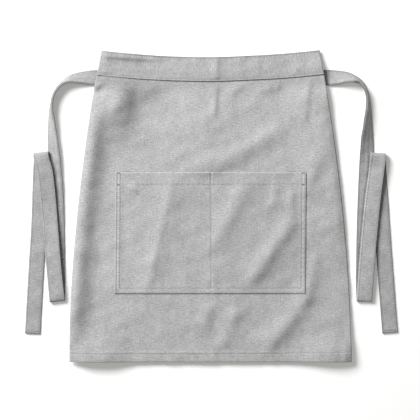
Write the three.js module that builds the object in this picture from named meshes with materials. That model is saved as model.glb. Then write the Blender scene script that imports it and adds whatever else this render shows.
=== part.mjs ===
// A half waist apron that lies face up: a flared skirt, a folded waistband, a patch pocket with two
// compartments and two long ties, each laid down in three runs.
// Millimetres. The origin is on the surface that it lies on, at the middle of the apron's outline.
// +X is to the right of the front, +Y runs from the hem to the waist, and +Z is up, out of the front.
import * as THREE from "three";

const { clamp, degToRad, lerp, smoothstep } = THREE.MathUtils;

// Driving dimensions
const CLOTH = 1.2; // wall of one layer of the woven cloth
const GAP = 0.3; // left between layers that are sewn to each other
const SKIRT = {
  seam: 236, // height of the waist seam at the sides
  bottom: -280, // height of the hem's edge
  waistHalf: 204, // half of the width at the waist seam
  hemHalf: 253, // half of the width at the hem
  flare: 1.87, // how early the sides flare out: 1 is a straight side
  waistDip: 11, // the waist curve's drop from the sides to the middle
  tab: 14, // what is sewn up inside the waistband
  hem: 14.5, // depth of the turned-up hem
};
const BAND = { depth: 44, topHalf: 196 };
const POCKET = {
  half: 170,
  top: 64,
  depth: 220,
  mouthHem: 24, // depth of the folded hem at the mouth
  turnUnder: 9, // what is folded under along the sewn edges
  divider: 5, // half of the strip that the middle seam pulls down
  fullness: 1.8, // how far the front of each compartment stands off the skirt
};
const TIE = { width: 28, wall: 2 };

// How finely each stretch is divided
const CELLS = { side: 5, compartment: 9, above: 10, pocketRows: 12, below: 7, tieRun: 3, tieAcross: 2 };

// Each fold is a rounded ridge in the cloth from one point to another: bow is how far its middle
// is off the straight line, width how far its flank spreads, and ends the share of its length
// over which it dies away.
const FOLDS = [
  { name: "left side roll", x1: -206, y1: 150, x2: -247, y2: -262, bow: -6, width: 17, height: 6.2, ends: 0.16 },
  { name: "left waist drag", x1: -152, y1: 236, x2: -206, y2: 112, bow: 4, width: 17, height: 4.2, ends: 0.3 },
  { name: "left hem lift", x1: -208, y1: -205, x2: -198, y2: -330, bow: 0, width: 34, height: 6, ends: 0.45 },
  { name: "broad swell", x1: 10, y1: 215, x2: -38, y2: 60, bow: 0, width: 60, height: 4, ends: 0.4 },
  { name: "upper diagonal", x1: 140, y1: 152, x2: 4, y2: 76, bow: 5, width: 16, height: 4.6, ends: 0.28 },
  { name: "pocket left", x1: -70, y1: 48, x2: -118, y2: -150, bow: -4, width: 24, height: 3.4, ends: 0.25 },
  { name: "pocket right, upper", x1: 70, y1: 50, x2: 8, y2: -66, bow: 3, width: 17, height: 3.6, ends: 0.3 },
  { name: "pocket right, lower", x1: 162, y1: -8, x2: 62, y2: -150, bow: 4, width: 18, height: 5.6, ends: 0.24 },
  { name: "lower right", x1: 190, y1: -146, x2: 82, y2: -268, bow: 5, width: 18, height: 6.2, ends: 0.24 },
  { name: "lower middle", x1: 44, y1: -166, x2: 16, y2: -258, bow: 0, width: 16, height: 2.4, ends: 0.4 },
  { name: "right of the pocket", x1: 212, y1: 112, x2: 176, y2: 0, bow: 3, width: 15, height: 3.4, ends: 0.3 },
  { name: "right side roll", x1: 206, y1: 196, x2: 243, y2: -250, bow: 10, width: 16, height: 3.4, ends: 0.2 },
  { name: "right hem lift", x1: 224, y1: -212, x2: 232, y2: -330, bow: 0, width: 36, height: 5, ends: 0.45 },
];

// A tie's sections, from the end behind the waist to the free end. x and y give the outer edge, z the
// underside of the lower edge, across the plan direction from the outer edge to the inner one, and
// tilt how steeply the inner edge stands up. A row with turn is a fold that lays the strap back over
// or under itself round a loop of that radius, towards +Y (1) or -Y (-1).
const TIE_LEFT = [
  { x: -174, y: 246, z: 0, across: -90, tilt: 0 },
  { x: -200, y: 246, z: 0, across: -90, tilt: 0 },
  { x: -214, y: 245.4, z: 0, across: -90, tilt: 3 },
  { x: -229, y: 243.2, z: 0, across: -86, tilt: 30 },
  { x: -248, y: 239.8, z: 0, across: -78, tilt: 54 },
  { x: -264, y: 233.6, z: 0, across: -62, tilt: 73 },
  { x: -276, y: 222.6, z: 0, across: -42, tilt: 81 },
  { x: -284, y: 209, z: 0, across: -21, tilt: 83 },
  { x: -288.4, y: 193.5, z: 0, across: -9, tilt: 81 },
  { x: -291.4, y: 177, z: 0, across: -4, tilt: 72 },
  { x: -293.2, y: 155.7, z: 0, across: -1, tilt: 59 },
  { x: -293.8, y: 128, z: 0, across: 0, tilt: 44 },
  { x: -293.4, y: 98, z: 0, across: 0, tilt: 26 },
  { x: -292.6, y: 66, z: 0, across: 0, tilt: 11 },
  { x: -291.4, y: 21, z: 0, across: 0, tilt: 2 },
  { x: -290, y: -60, z: 0, across: 1, tilt: 0 },
  { x: -289, y: -145, z: 0, across: 2, tilt: 0 },
  { x: -289.4, y: -168.6, z: 0, across: 5, tilt: 0, turn: -1, radius: 2.7 },
  { x: -293.6, y: -125, z: 4, across: 6, tilt: 0 },
  { x: -299.2, y: -60, z: 2.9, across: 6, tilt: 0 },
  { x: -305.2, y: 12, z: 3.6, across: 6, tilt: 0 },
  { x: -311.4, y: 68, z: 5, across: 7, tilt: 0 },
  { x: -318, y: 91.6, z: 0, across: 6, tilt: 0, turn: 1, radius: 3.3 },
  { x: -320, y: 50, z: 0, across: 0, tilt: 0 },
  { x: -322.6, y: -30, z: 0, across: -2, tilt: 0 },
  { x: -328, y: -120, z: 0, across: -3, tilt: 0 },
  { x: -334, y: -228, z: 0, across: -3, tilt: 0 },
];
const TIE_RIGHT = [
  { x: 174, y: 246, z: 0, across: -90, tilt: 0 },
  { x: 200, y: 246, z: 0, across: -90, tilt: 0 },
  { x: 214, y: 245.6, z: 0, across: -90, tilt: 3 },
  { x: 230, y: 244.2, z: 0, across: -92, tilt: 24 },
  { x: 246, y: 242, z: 0, across: -97, tilt: 43 },
  { x: 260, y: 236.2, z: 0, across: -109, tilt: 61 },
  { x: 272, y: 227.4, z: 0, across: -126, tilt: 75 },
  { x: 280, y: 216.6, z: 0, across: -148, tilt: 82 },
  { x: 285.4, y: 204, z: 0, across: -167, tilt: 82 },
  { x: 289, y: 188.6, z: 0, across: -176, tilt: 73 },
  { x: 291.6, y: 168, z: 0, across: -180, tilt: 56 },
  { x: 293, y: 143, z: 0, across: -180, tilt: 38 },
  { x: 294, y: 116, z: 0, across: -180, tilt: 20 },
  { x: 294.2, y: 87, z: 0, across: -180, tilt: 8 },
  { x: 293, y: 39, z: 0, across: -179, tilt: 2 },
  { x: 290.6, y: -60, z: 0, across: -179, tilt: 0 },
  { x: 289.8, y: -145, z: 0, across: -180, tilt: 0 },
  { x: 290.6, y: -168, z: 0, across: -182, tilt: 0, turn: -1, radius: 2.7 },
  { x: 293.4, y: -125, z: 4, across: -185, tilt: 0 },
  { x: 299, y: -60, z: 2.9, across: -185.5, tilt: 0 },
  { x: 306, y: 12, z: 3.6, across: -186, tilt: 0 },
  { x: 312.6, y: 68, z: 5, across: -185, tilt: 0 },
  { x: 315.4, y: 92, z: 0, across: -183, tilt: 0, turn: 1, radius: 3.3 },
  { x: 317.6, y: 44, z: 0, across: -177, tilt: 0 },
  { x: 323, y: -40, z: 0, across: -176, tilt: 0 },
  { x: 329.6, y: -130, z: 0, across: -175.5, tilt: 0 },
  { x: 337, y: -226, z: 0, across: -175, tilt: 0 },
];

// Outline

/** Half of the apron's width at a height y, on the skirt and on up the waistband. */
function halfWidth(y) {
  if (y > SKIRT.seam) {
    return lerp(SKIRT.waistHalf, BAND.topHalf, (y - SKIRT.seam) / BAND.depth);
  }
  const down = (SKIRT.seam - y) / (SKIRT.seam - SKIRT.bottom);
  return lerp(SKIRT.waistHalf, SKIRT.hemHalf, 1 - (1 - clamp(down, 0, 1)) ** SKIRT.flare);
}

/** How far the waist curve lies below its ends, at a column. */
function dip(column) {
  const share = columnX(column, SKIRT.seam) / SKIRT.waistHalf;
  return SKIRT.waistDip * (1 - share * share);
}

/** Where a column crosses the height y: straight under the pocket, fanned out to the edge beside it. */
function columnX(column, y) {
  if (column.fan === 0) return column.x;
  return Math.sign(column.x) * lerp(POCKET.half, halfWidth(y), column.fan);
}

// Heights above the surface that the apron lies on

/** Rise of one fold at a point: a rounded ridge across its line that dies away at both ends. */
function foldRise(fold, x, y) {
  const along = new THREE.Vector2(fold.x2 - fold.x1, fold.y2 - fold.y1);
  const from = new THREE.Vector2(x - fold.x1, y - fold.y1);
  const t = from.dot(along) / along.lengthSq();
  const off = along.cross(from) / along.length() - fold.bow * 4 * t * (1 - t);
  const fade = smoothstep(t, 0, fold.ends) * smoothstep(1 - t, 0, fold.ends);
  return fold.height * fade * Math.exp(-((off / fold.width) ** 2));
}

/** Rise of the cloth over the end of a tie that is sewn on behind the waist. */
function tieRise(x, y) {
  const reach = smoothstep(Math.abs(x), 128, 164);
  const beside = smoothstep(y, 160, 206) * lerp(1, 0.5, smoothstep(y, 252, 280));
  return (TIE.wall + GAP) * reach * beside + 0.9 * smoothstep(Math.abs(x), 198, 208) * beside;
}

/** Height of the skirt's underside. It is flat on the surface wherever nothing lifts it. */
function skirtUnderside(x, y, seamY) {
  const folds = FOLDS.reduce((sum, fold) => sum + foldRise(fold, x, y), 0);
  const inBand = (CLOTH + GAP) * smoothstep(y, seamY - 46, seamY - 4);
  const belowSeam = 1 - smoothstep(y, seamY - 34, seamY);
  const aboveHem = CLOTH * (1 - smoothstep(y, SKIRT.bottom + SKIRT.hem, SKIRT.bottom + 60));
  const onHem = y < SKIRT.bottom + SKIRT.hem - 0.01;
  const settled = Math.max(0, folds * belowSeam - 0.5);
  return settled + inBand + tieRise(x, y) + (onHem ? 0 : aboveHem);
}

/** Height of the skirt's front face: the hem is two layers thick. */
function skirtFront(x, y, seamY) {
  const layers = y < SKIRT.bottom + SKIRT.hem - 0.01 ? 2 : 1;
  return skirtUnderside(x, y, seamY) + CLOTH * layers;
}

// Meshes

/** One closed wall between two grids of points of the same size, front and back, with a rim round them. */
function closedWall(front, back) {
  const [rows, columns] = [front.length, front[0].length];
  const points = [...front.flat(), ...back.flat()];
  const at = (side, row, column) => (side * rows + row) * columns + column;
  const faces = [];
  const quad = (a, b, c, d) => faces.push(a, b, c, a, c, d);
  for (let r = 0; r + 1 < rows; r++) {
    for (let c = 0; c + 1 < columns; c++) {
      quad(at(0, r, c), at(0, r + 1, c), at(0, r + 1, c + 1), at(0, r, c + 1));
      quad(at(1, r, c), at(1, r, c + 1), at(1, r + 1, c + 1), at(1, r + 1, c));
    }
    const last = columns - 1;
    quad(at(0, r, 0), at(1, r, 0), at(1, r + 1, 0), at(0, r + 1, 0));
    quad(at(0, r, last), at(0, r + 1, last), at(1, r + 1, last), at(1, r, last));
  }
  for (let c = 0; c + 1 < columns; c++) {
    const last = rows - 1;
    quad(at(0, 0, c), at(0, 0, c + 1), at(1, 0, c + 1), at(1, 0, c));
    quad(at(0, last, c), at(1, last, c), at(1, last, c + 1), at(0, last, c + 1));
  }
  const geometry = new THREE.BufferGeometry().setFromPoints(points);
  geometry.setIndex(faces);
  geometry.computeVertexNormals();
  return geometry;
}

/** Evenly spaced values from a to b, both included. */
function spaced(a, b, cells) {
  return Array.from({ length: cells + 1 }, (_, i) => lerp(a, b, i / cells));
}

/** The columns that the skirt, the waistband and the pocket share, from left to right. */
function sharedColumns() {
  const { half, turnUnder, divider } = POCKET;
  const open = spaced(divider, half - turnUnder, CELLS.compartment);
  const right = [...open, half - turnUnder / 4, half].map((x) => ({ x, fan: 0 }));
  const side = spaced(0, 1, CELLS.side).slice(1).map((fan) => ({ x: half, fan }));
  const half2 = [...right, ...side];
  const mirrored = half2.map(({ x, fan }) => ({ x: -x, fan })).reverse();
  return [...mirrored, { x: 0, fan: 0 }, ...half2];
}

const COLUMNS = sharedColumns();
const POCKET_BOTTOM = POCKET.top - POCKET.depth;
const seamAt = (column) => SKIRT.seam - dip(column);

/** Heights of the pocket's rows, from its mouth down. The skirt below has the same ones. */
function pocketRows() {
  const hemEdge = POCKET.top - POCKET.mouthHem;
  const turned = POCKET_BOTTOM + POCKET.turnUnder;
  const mouth = [POCKET.top, POCKET.top - POCKET.mouthHem / 2, hemEdge, hemEdge - 1.5];
  return [...mouth, ...spaced(hemEdge - 12, turned, CELLS.pocketRows), POCKET_BOTTOM + 2, POCKET_BOTTOM];
}

// Pieces

/** The flared panel, from the tab inside the waistband to the turned-up hem. */
function skirtPanel() {
  const hemTop = SKIRT.bottom + SKIRT.hem;
  const above = spaced(0, 1, CELLS.above).slice(0, -1);
  const below = [...spaced(POCKET_BOTTOM, hemTop, CELLS.below).slice(1), hemTop - 1.5];
  const levels = [
    ...[SKIRT.tab, SKIRT.tab / 2].map((up) => (column) => seamAt(column) + up),
    ...above.map((share) => (column) => lerp(seamAt(column), POCKET.top, share)),
    ...[...pocketRows(), ...below, SKIRT.bottom].map((y) => () => y),
  ];
  const grid = (height) =>
    levels.map((level) =>
      COLUMNS.map((column) => {
        const y = level(column);
        const x = columnX(column, y);
        return new THREE.Vector3(x, y, height(x, y, seamAt(column)));
      }),
    );
  return closedWall(grid(skirtFront), grid(skirtUnderside));
}

/** One strip folded over the skirt's top edge: up the front, round the top and down the back. */
function waistband() {
  const roundTop = 3; // rows round the folded edge
  const room = (up) => lerp(CLOTH + 2 * GAP, 2 * GAP, smoothstep(up, SKIRT.tab + 1, BAND.depth - 6));
  const straight = [0, SKIRT.tab / 2, SKIRT.tab + 1, BAND.depth * 0.6, BAND.depth - 2];
  const section = [
    ...straight.map((up) => ({ up, side: 1 })),
    ...spaced(1, -1, roundTop + 1).slice(1, -1).map((side) => ({ up: BAND.depth, side, round: true })),
    ...straight.toReversed().map((up) => ({ up, side: -1 })),
  ];
  // A row's distance from the middle of the folded strip, inside (0) or outside (1) its wall
  const grid = (outside) =>
    section.map(({ up, side, round }) =>
      COLUMNS.map((column) => {
        const inner = room(up) / 2;
        const off = side * (inner + outside * CLOTH);
        const top = round ? (outside ? CLOTH : 0) * (1 - 0.5 * side * side) - CLOTH : 0;
        const y = seamAt(column) + up + top;
        const x = columnX(column, y);
        const middle = tieRise(x, y) + CLOTH + inner;
        return new THREE.Vector3(x, y, middle + off);
      }),
    );
  return closedWall(grid(1).toReversed(), grid(0).toReversed());
}

/** The patch on the skirt: double at its edges and mouth, standing off a little in each compartment. */
function patchPocket() {
  const columns = COLUMNS.filter(({ x, fan }) => fan === 0 && Math.abs(x) <= POCKET.half);
  const rows = pocketRows();
  const compartment = POCKET.half - POCKET.divider;
  const fullness = (x, y) => {
    const across = clamp((Math.abs(x) - POCKET.divider) / compartment, 0, 1);
    const up = clamp((y - POCKET_BOTTOM) / POCKET.depth, 0, 1);
    return POCKET.fullness * Math.sin(Math.PI * across) ** 0.7 * smoothstep(up, 0, 0.3);
  };
  const doubled = (x, y) =>
    Math.abs(x) > POCKET.half - POCKET.turnUnder + 0.01 ||
    y < POCKET_BOTTOM + POCKET.turnUnder - 0.01 ||
    y > POCKET.top - POCKET.mouthHem - 0.01;
  const onDivider = (x) => Math.abs(x) < 0.01;
  const grid = (height) =>
    rows.map((y) => columns.map(({ x }) => new THREE.Vector3(x, y, height(x, y))));
  const seam = (x) => seamAt({ x, fan: 0 });
  const sewn = (x, y) => skirtFront(x, y, seam(x)) + GAP + fullness(x, y);
  const back = (x, y) => sewn(x, y) + (doubled(x, y) || onDivider(x) ? 0 : CLOTH);
  const front = (x, y) => sewn(x, y) + (onDivider(x) && !doubled(x, y) ? CLOTH : 2 * CLOTH);
  return closedWall(grid(front), grid(back));
}

/** The sections of a tie with each fold spelled out as the loop that the strap makes there. */
function tieSections(rows) {
  const loop = [0, 45, 90, 135, 180];
  return rows.flatMap((row) => {
    if (!row.turn) return [row];
    const climbs = row.turn < 0;
    return loop.map((turned) => {
      const angle = degToRad(climbs ? turned : 180 - turned);
      const out = Math.sin(angle) * row.radius;
      const up = (1 - Math.cos(angle)) * row.radius;
      return { ...row, y: row.y + row.turn * out, z: row.z + up };
    });
  });
}

/** A strap through the rows of a table, as wide and as thick as a tie. */
function tie(rows) {
  const edges = tieSections(rows).map(({ x, y, z, across, tilt }) => {
    const [turn, rise] = [degToRad(across), degToRad(tilt)];
    const flat = Math.cos(rise);
    const reach = new THREE.Vector3(flat * Math.cos(turn), flat * Math.sin(turn), Math.sin(rise));
    const outer = new THREE.Vector3(x, y, z + (TIE.wall / 2) * flat);
    return { outer, inner: outer.clone().addScaledVector(reach, TIE.width) };
  });
  const curve = (side) => new THREE.CatmullRomCurve3(edges.map((edge) => edge[side]), false, "centripetal");
  const [outer, inner] = [curve("outer"), curve("inner")];
  const steps = spaced(0, 1, (edges.length - 1) * CELLS.tieRun);
  const across = spaced(0, 1, CELLS.tieAcross);
  const middle = steps.map((t) => across.map((s) => outer.getPoint(t).lerp(inner.getPoint(t), s)));
  const half = TIE.wall / 2;
  const offset = (sign) =>
    middle.map((row, i) => {
      const ahead = middle[Math.min(i + 1, middle.length - 1)];
      const behind = middle[Math.max(i - 1, 0)];
      const width = row.at(-1).clone().sub(row[0]);
      return row.map((point, j) => {
        const run = ahead[j].clone().sub(behind[j]);
        const normal = run.cross(width).normalize();
        return point.clone().addScaledVector(normal, sign * half);
      });
    });
  const [front, back] = [offset(1), offset(-1)];
  // No section reaches below the surface that the tie lies on
  front.forEach((row, i) => {
    const section = [...row, ...back[i]];
    const below = Math.min(0, ...section.map((point) => point.z));
    section.forEach((point) => point.setZ(point.z - below));
  });
  return closedWall(front, back);
}

// Assembly
const chambray = (colour) => new THREE.MeshStandardMaterial({ color: colour, roughness: 0.95, metalness: 0 });
const apron = new THREE.Group();
apron.name = "half_waist_apron";
const pieces = [
  ["skirt_panel", skirtPanel(), 0xb4b4b4],
  ["waistband", waistband(), 0xb7b7b7],
  ["patch_pocket", patchPocket(), 0xb2b2b2],
  ["tie_left", tie(TIE_LEFT), 0xb0b0b0],
  ["tie_right", tie(TIE_RIGHT), 0xb0b0b0],
];
for (const [name, geometry, colour] of pieces) {
  const mesh = new THREE.Mesh(geometry, chambray(colour));
  mesh.name = name;
  apron.add(mesh);
}

export default apron;
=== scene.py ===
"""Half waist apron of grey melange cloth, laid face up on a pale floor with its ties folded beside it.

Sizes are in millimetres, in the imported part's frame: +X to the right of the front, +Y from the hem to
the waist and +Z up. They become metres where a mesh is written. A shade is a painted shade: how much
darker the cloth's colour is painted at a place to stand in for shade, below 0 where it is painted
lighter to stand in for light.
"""

import logging
import math
from collections.abc import Callable, Sequence
from dataclasses import dataclass, field
from enum import Enum

import bmesh
import bpy
import numpy as np
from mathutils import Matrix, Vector


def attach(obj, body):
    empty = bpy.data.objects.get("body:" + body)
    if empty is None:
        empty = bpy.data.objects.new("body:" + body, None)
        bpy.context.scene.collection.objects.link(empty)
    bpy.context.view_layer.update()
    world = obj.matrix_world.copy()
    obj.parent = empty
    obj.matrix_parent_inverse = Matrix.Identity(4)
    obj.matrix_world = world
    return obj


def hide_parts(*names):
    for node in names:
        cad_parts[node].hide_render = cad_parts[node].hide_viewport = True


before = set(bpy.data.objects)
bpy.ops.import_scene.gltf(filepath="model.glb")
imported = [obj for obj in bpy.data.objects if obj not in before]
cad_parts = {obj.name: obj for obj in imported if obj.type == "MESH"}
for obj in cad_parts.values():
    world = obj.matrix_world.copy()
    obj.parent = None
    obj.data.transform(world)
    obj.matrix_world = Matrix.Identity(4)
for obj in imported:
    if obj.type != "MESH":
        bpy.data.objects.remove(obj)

LOG = logging.getLogger("apron")
MM = 0.001
BODY = "root"
UV_NAME = "cloth"
# Name of the mesh attribute that holds each piece's painted shade along seams, folds and edges, below 0
# where it is a painted highlight
PAINTED_SHADE_NAME = "sewn"

# Divisions beside a stitch line, the share of a step kept clear of them, and the least gap between any two
FINE_STEPS = np.array([-3.2, -2.0, -1.1, -0.5, 0.0, 0.5, 1.1, 2.0, 3.2])
CLEAR_SHARE = 0.45
LEAST_GAP = 0.2

# How near points are merged, the least root of a spline's stretch, how far to both sides a face's slope
# is read, and the turns that spell out a fold of a strap
MERGE = 0.01
LEAST_ROOT = 0.001
SLOPE_REACH = 0.8
FOLD_TURNS = (0.0, 45.0, 90.0, 135.0, 180.0)


def bell(offset: np.ndarray, width: float | np.ndarray) -> np.ndarray:
    """Give 1 on a line, falling to about a third at the width from it."""
    return np.exp(-((offset / width) ** 2))


@dataclass(frozen=True)
class Ramp:
    """A smooth rise from 0 at low to 1 at high."""

    low: float
    high: float

    def __call__(self, value: np.ndarray) -> np.ndarray:
        """Give the share risen at each value."""
        t = np.clip((value - self.low) / (self.high - self.low), 0.0, 1.0)
        return t * t * (3.0 - 2.0 * t)


@dataclass(frozen=True)
class Mark:
    """A strip along a line, with its strength in the middle, its width and how far it is off the line."""

    strength: float
    width: float
    off: float = 0.0

    def __call__(self, distance: np.ndarray) -> np.ndarray:
        """Give the strip's strength at a distance from the line."""
        return self.strength * bell(distance - self.off, self.width)


@dataclass(frozen=True)
class Ripple:
    """A wave of the given pitch, uneven because it sways with a longer wave."""

    pitch: float
    sway: float
    wave: float

    def __call__(self, along: np.ndarray, swaying: np.ndarray) -> np.ndarray:
        """Give the wave, from -1 to 1, at places along it and along the longer wave."""
        return np.sin(along * math.tau / self.pitch + self.sway * np.sin(swaying / self.wave))


def lengths(line: np.ndarray) -> np.ndarray:
    """Give the length along a line up to each of its points."""
    return np.concatenate([[0.0], np.cumsum(np.linalg.norm(np.diff(line, axis=0), axis=-1))])


def stations(start: float, end: float, step: float, marks: tuple[float, ...] = ()) -> np.ndarray:
    """Divide a length evenly, with closer divisions beside each mark.

    Args:
        start: First value.
        end: Last value, above or below start.
        step: Distance between values away from the marks.
        marks: Values, such as stitch lines, that get fine divisions on both sides.

    Returns:
        The values in order from start to end.
    """
    low, high = min(start, end), max(start, end)
    near = np.concatenate([mark + FINE_STEPS for mark in marks]) if marks else np.array([])
    even = np.linspace(low, high, max(1, round((high - low) / step)) + 1)
    clear = [value for value in even if not len(near) or np.abs(near - value).min() > CLEAR_SHARE * step]
    values = np.unique(np.round(np.concatenate([clear, near, [low, high]]), 3))
    values = values[(values >= low) & (values <= high)]
    values = values[np.concatenate([[True], np.diff(values) > LEAST_GAP])]
    values[-1] = high
    return values if start < end else values[::-1]


@dataclass(frozen=True)
class Fold:
    """A rounded ridge in the cloth along a slightly bowed line, or a hollow where its height is negative.

    x1, y1 and x2, y2 are its ends, bow is how far its middle is off the straight line, width is how far
    its flanks spread, ends is the share of its length over which it dies away, and lee is the spread of
    the flank on the left of its direction as a share of the other one's.
    """

    x1: float
    y1: float
    x2: float
    y2: float
    bow: float
    width: float
    height: float
    ends: float = 0.35
    lee: float = 1.0

    def rise(self, x: np.ndarray, y: np.ndarray) -> np.ndarray:
        """Give the fold's height.

        Args:
            x: Places to the right of the middle.
            y: Places towards the waist.

        Returns:
            The height over each place of the floor.
        """
        dx, dy = self.x2 - self.x1, self.y2 - self.y1
        length = math.hypot(dx, dy)
        t = ((x - self.x1) * dx + (y - self.y1) * dy) / length**2
        off = (dx * (y - self.y1) - dy * (x - self.x1)) / length - self.bow * 4.0 * t * (1.0 - t)
        ends = Ramp(0.0, self.ends)
        width = np.where(off > 0.0, self.lee, 1.0) * self.width
        return self.height * ends(t) * ends(1.0 - t) * bell(off, width)


# The skirt's folds, each placed along a crease that shows
SKIRT_FOLDS = (
    Fold(-198, 222, -252, -306, -6, 20, 13.0, 0.22, 1.02),
    Fold(-141, 340, -197, 84, 0, 75, 14.6, 0.4, 0.53),
    Fold(-146, 218, -196, 138, 0, 40, 2.6, 0.35, 0.4),
    Fold(-85, 246, -131, 188, 0, 20, 5.2, 0.3, 0.8),
    Fold(-135, 252, -170, 104, 0, 22, 2.7, 0.25, 0.7),
    Fold(-176, 244, -212, 204, 0, 8, 3.6, 0.3, 0.7),
    Fold(-222, -120, -262, -262, 0, 12, 1.4, 0.3, 2.4),
    Fold(-132, -274, -276, -274, 0, 50, 11.5, 0.45, 0.5),
    Fold(-250, -300, 250, -300, 0, 70, 5.0, 0.06),
    Fold(330, -274, 140, -274, 0, 50, 8.4, 0.4, 0.5),
    Fold(244, -232, 241, -310, 0, 8, 2.2, 0.3, 0.8),
    Fold(197, 236, 231, -120, 5, 70, 4.4, 0.25, 0.2),
    Fold(226, 90, 257, -300, -3, 30, 1.6, 0.15),
    Fold(10, 215, -38, 60, 0, 56, 4.4, 0.4),
    Fold(-420, -170, 170, -170, 0, 80, 5.5, 0.3),
    Fold(146, 153, -72, 58, 15, 16, 4.4, 0.3, 1.1),
    Fold(-60, 76, -120, -176, 0, 19, 3.2, 0.2, 1.25),
    Fold(-62, 66, -117, -165, 0, 7, 1.0, 0.2, 1.2),
    Fold(72, 60, -8, -94, 2, 17, 4.6, 0.25, 1.1),
    Fold(122, 50, 104, -16, 0, 10, 2.0, 0.35),
    Fold(150, 40, 140, -10, 0, 9, 1.6, 0.4),
    Fold(160, 2, 58, -150, 4, 15, 5.6, 0.24, 1.1),
    Fold(188, -138, 86, -268, 6, 22, 6.4, 0.24, 0.73),
    Fold(190, -70, 174, -168, 2, 12, 3.0, 0.35),
    Fold(4, -156, -16, -240, 0, 13, 2.6, 0.35),
    Fold(53, -168, 15, -264, 0, 14, 3.0, 0.35),
    Fold(10, -96, 2, -150, 0, 10, 1.8, 0.4),
    Fold(-154, 36, -126, 28, 1, 9, 1.6, 0.4),
    Fold(212, 111, 170, 6, -9, 20, 3.8, 0.3, 0.7),
    Fold(12, 236, 5, 150, 1, 9, 2.0, 0.3, 0.5),
    Fold(176, 224, 166, 140, 0, 26, 2.6, 0.3, 0.3),
    Fold(181, 236, 173, 196, 0, 8, 1.5, 0.3, 0.7),
    Fold(129, 234, 117, 204, 0, 7, 2.0, 0.35, 0.6),
    Fold(118, 222, 78, 200, 0, 12, 2.6, 0.35),
    Fold(70, 230, 30, 198, 0, 9, 2.6, 0.35, 0.9),
)

# Small dents pressed into the waistband
BAND_FOLDS = (
    Fold(-80, 262, -205, 270, 0, 20, 2.8, 0.25, 0.14),
    Fold(-108, 264, -220, 272, 0, 24, 2.0, 0.3, 0.6),
    Fold(12, 290, 11, 214, 0, 10, 2.0, 0.1, 0.55),
    Fold(-185, 290, -193, 226, 0, 9, 1.5, 0.08),
    Fold(64, 282, 44, 222, 0, 8, 0.4, 0.25, 0.8),
    Fold(168, 286, 150, 226, 0, 10, 0.5, 0.25, 0.8),
)


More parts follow.
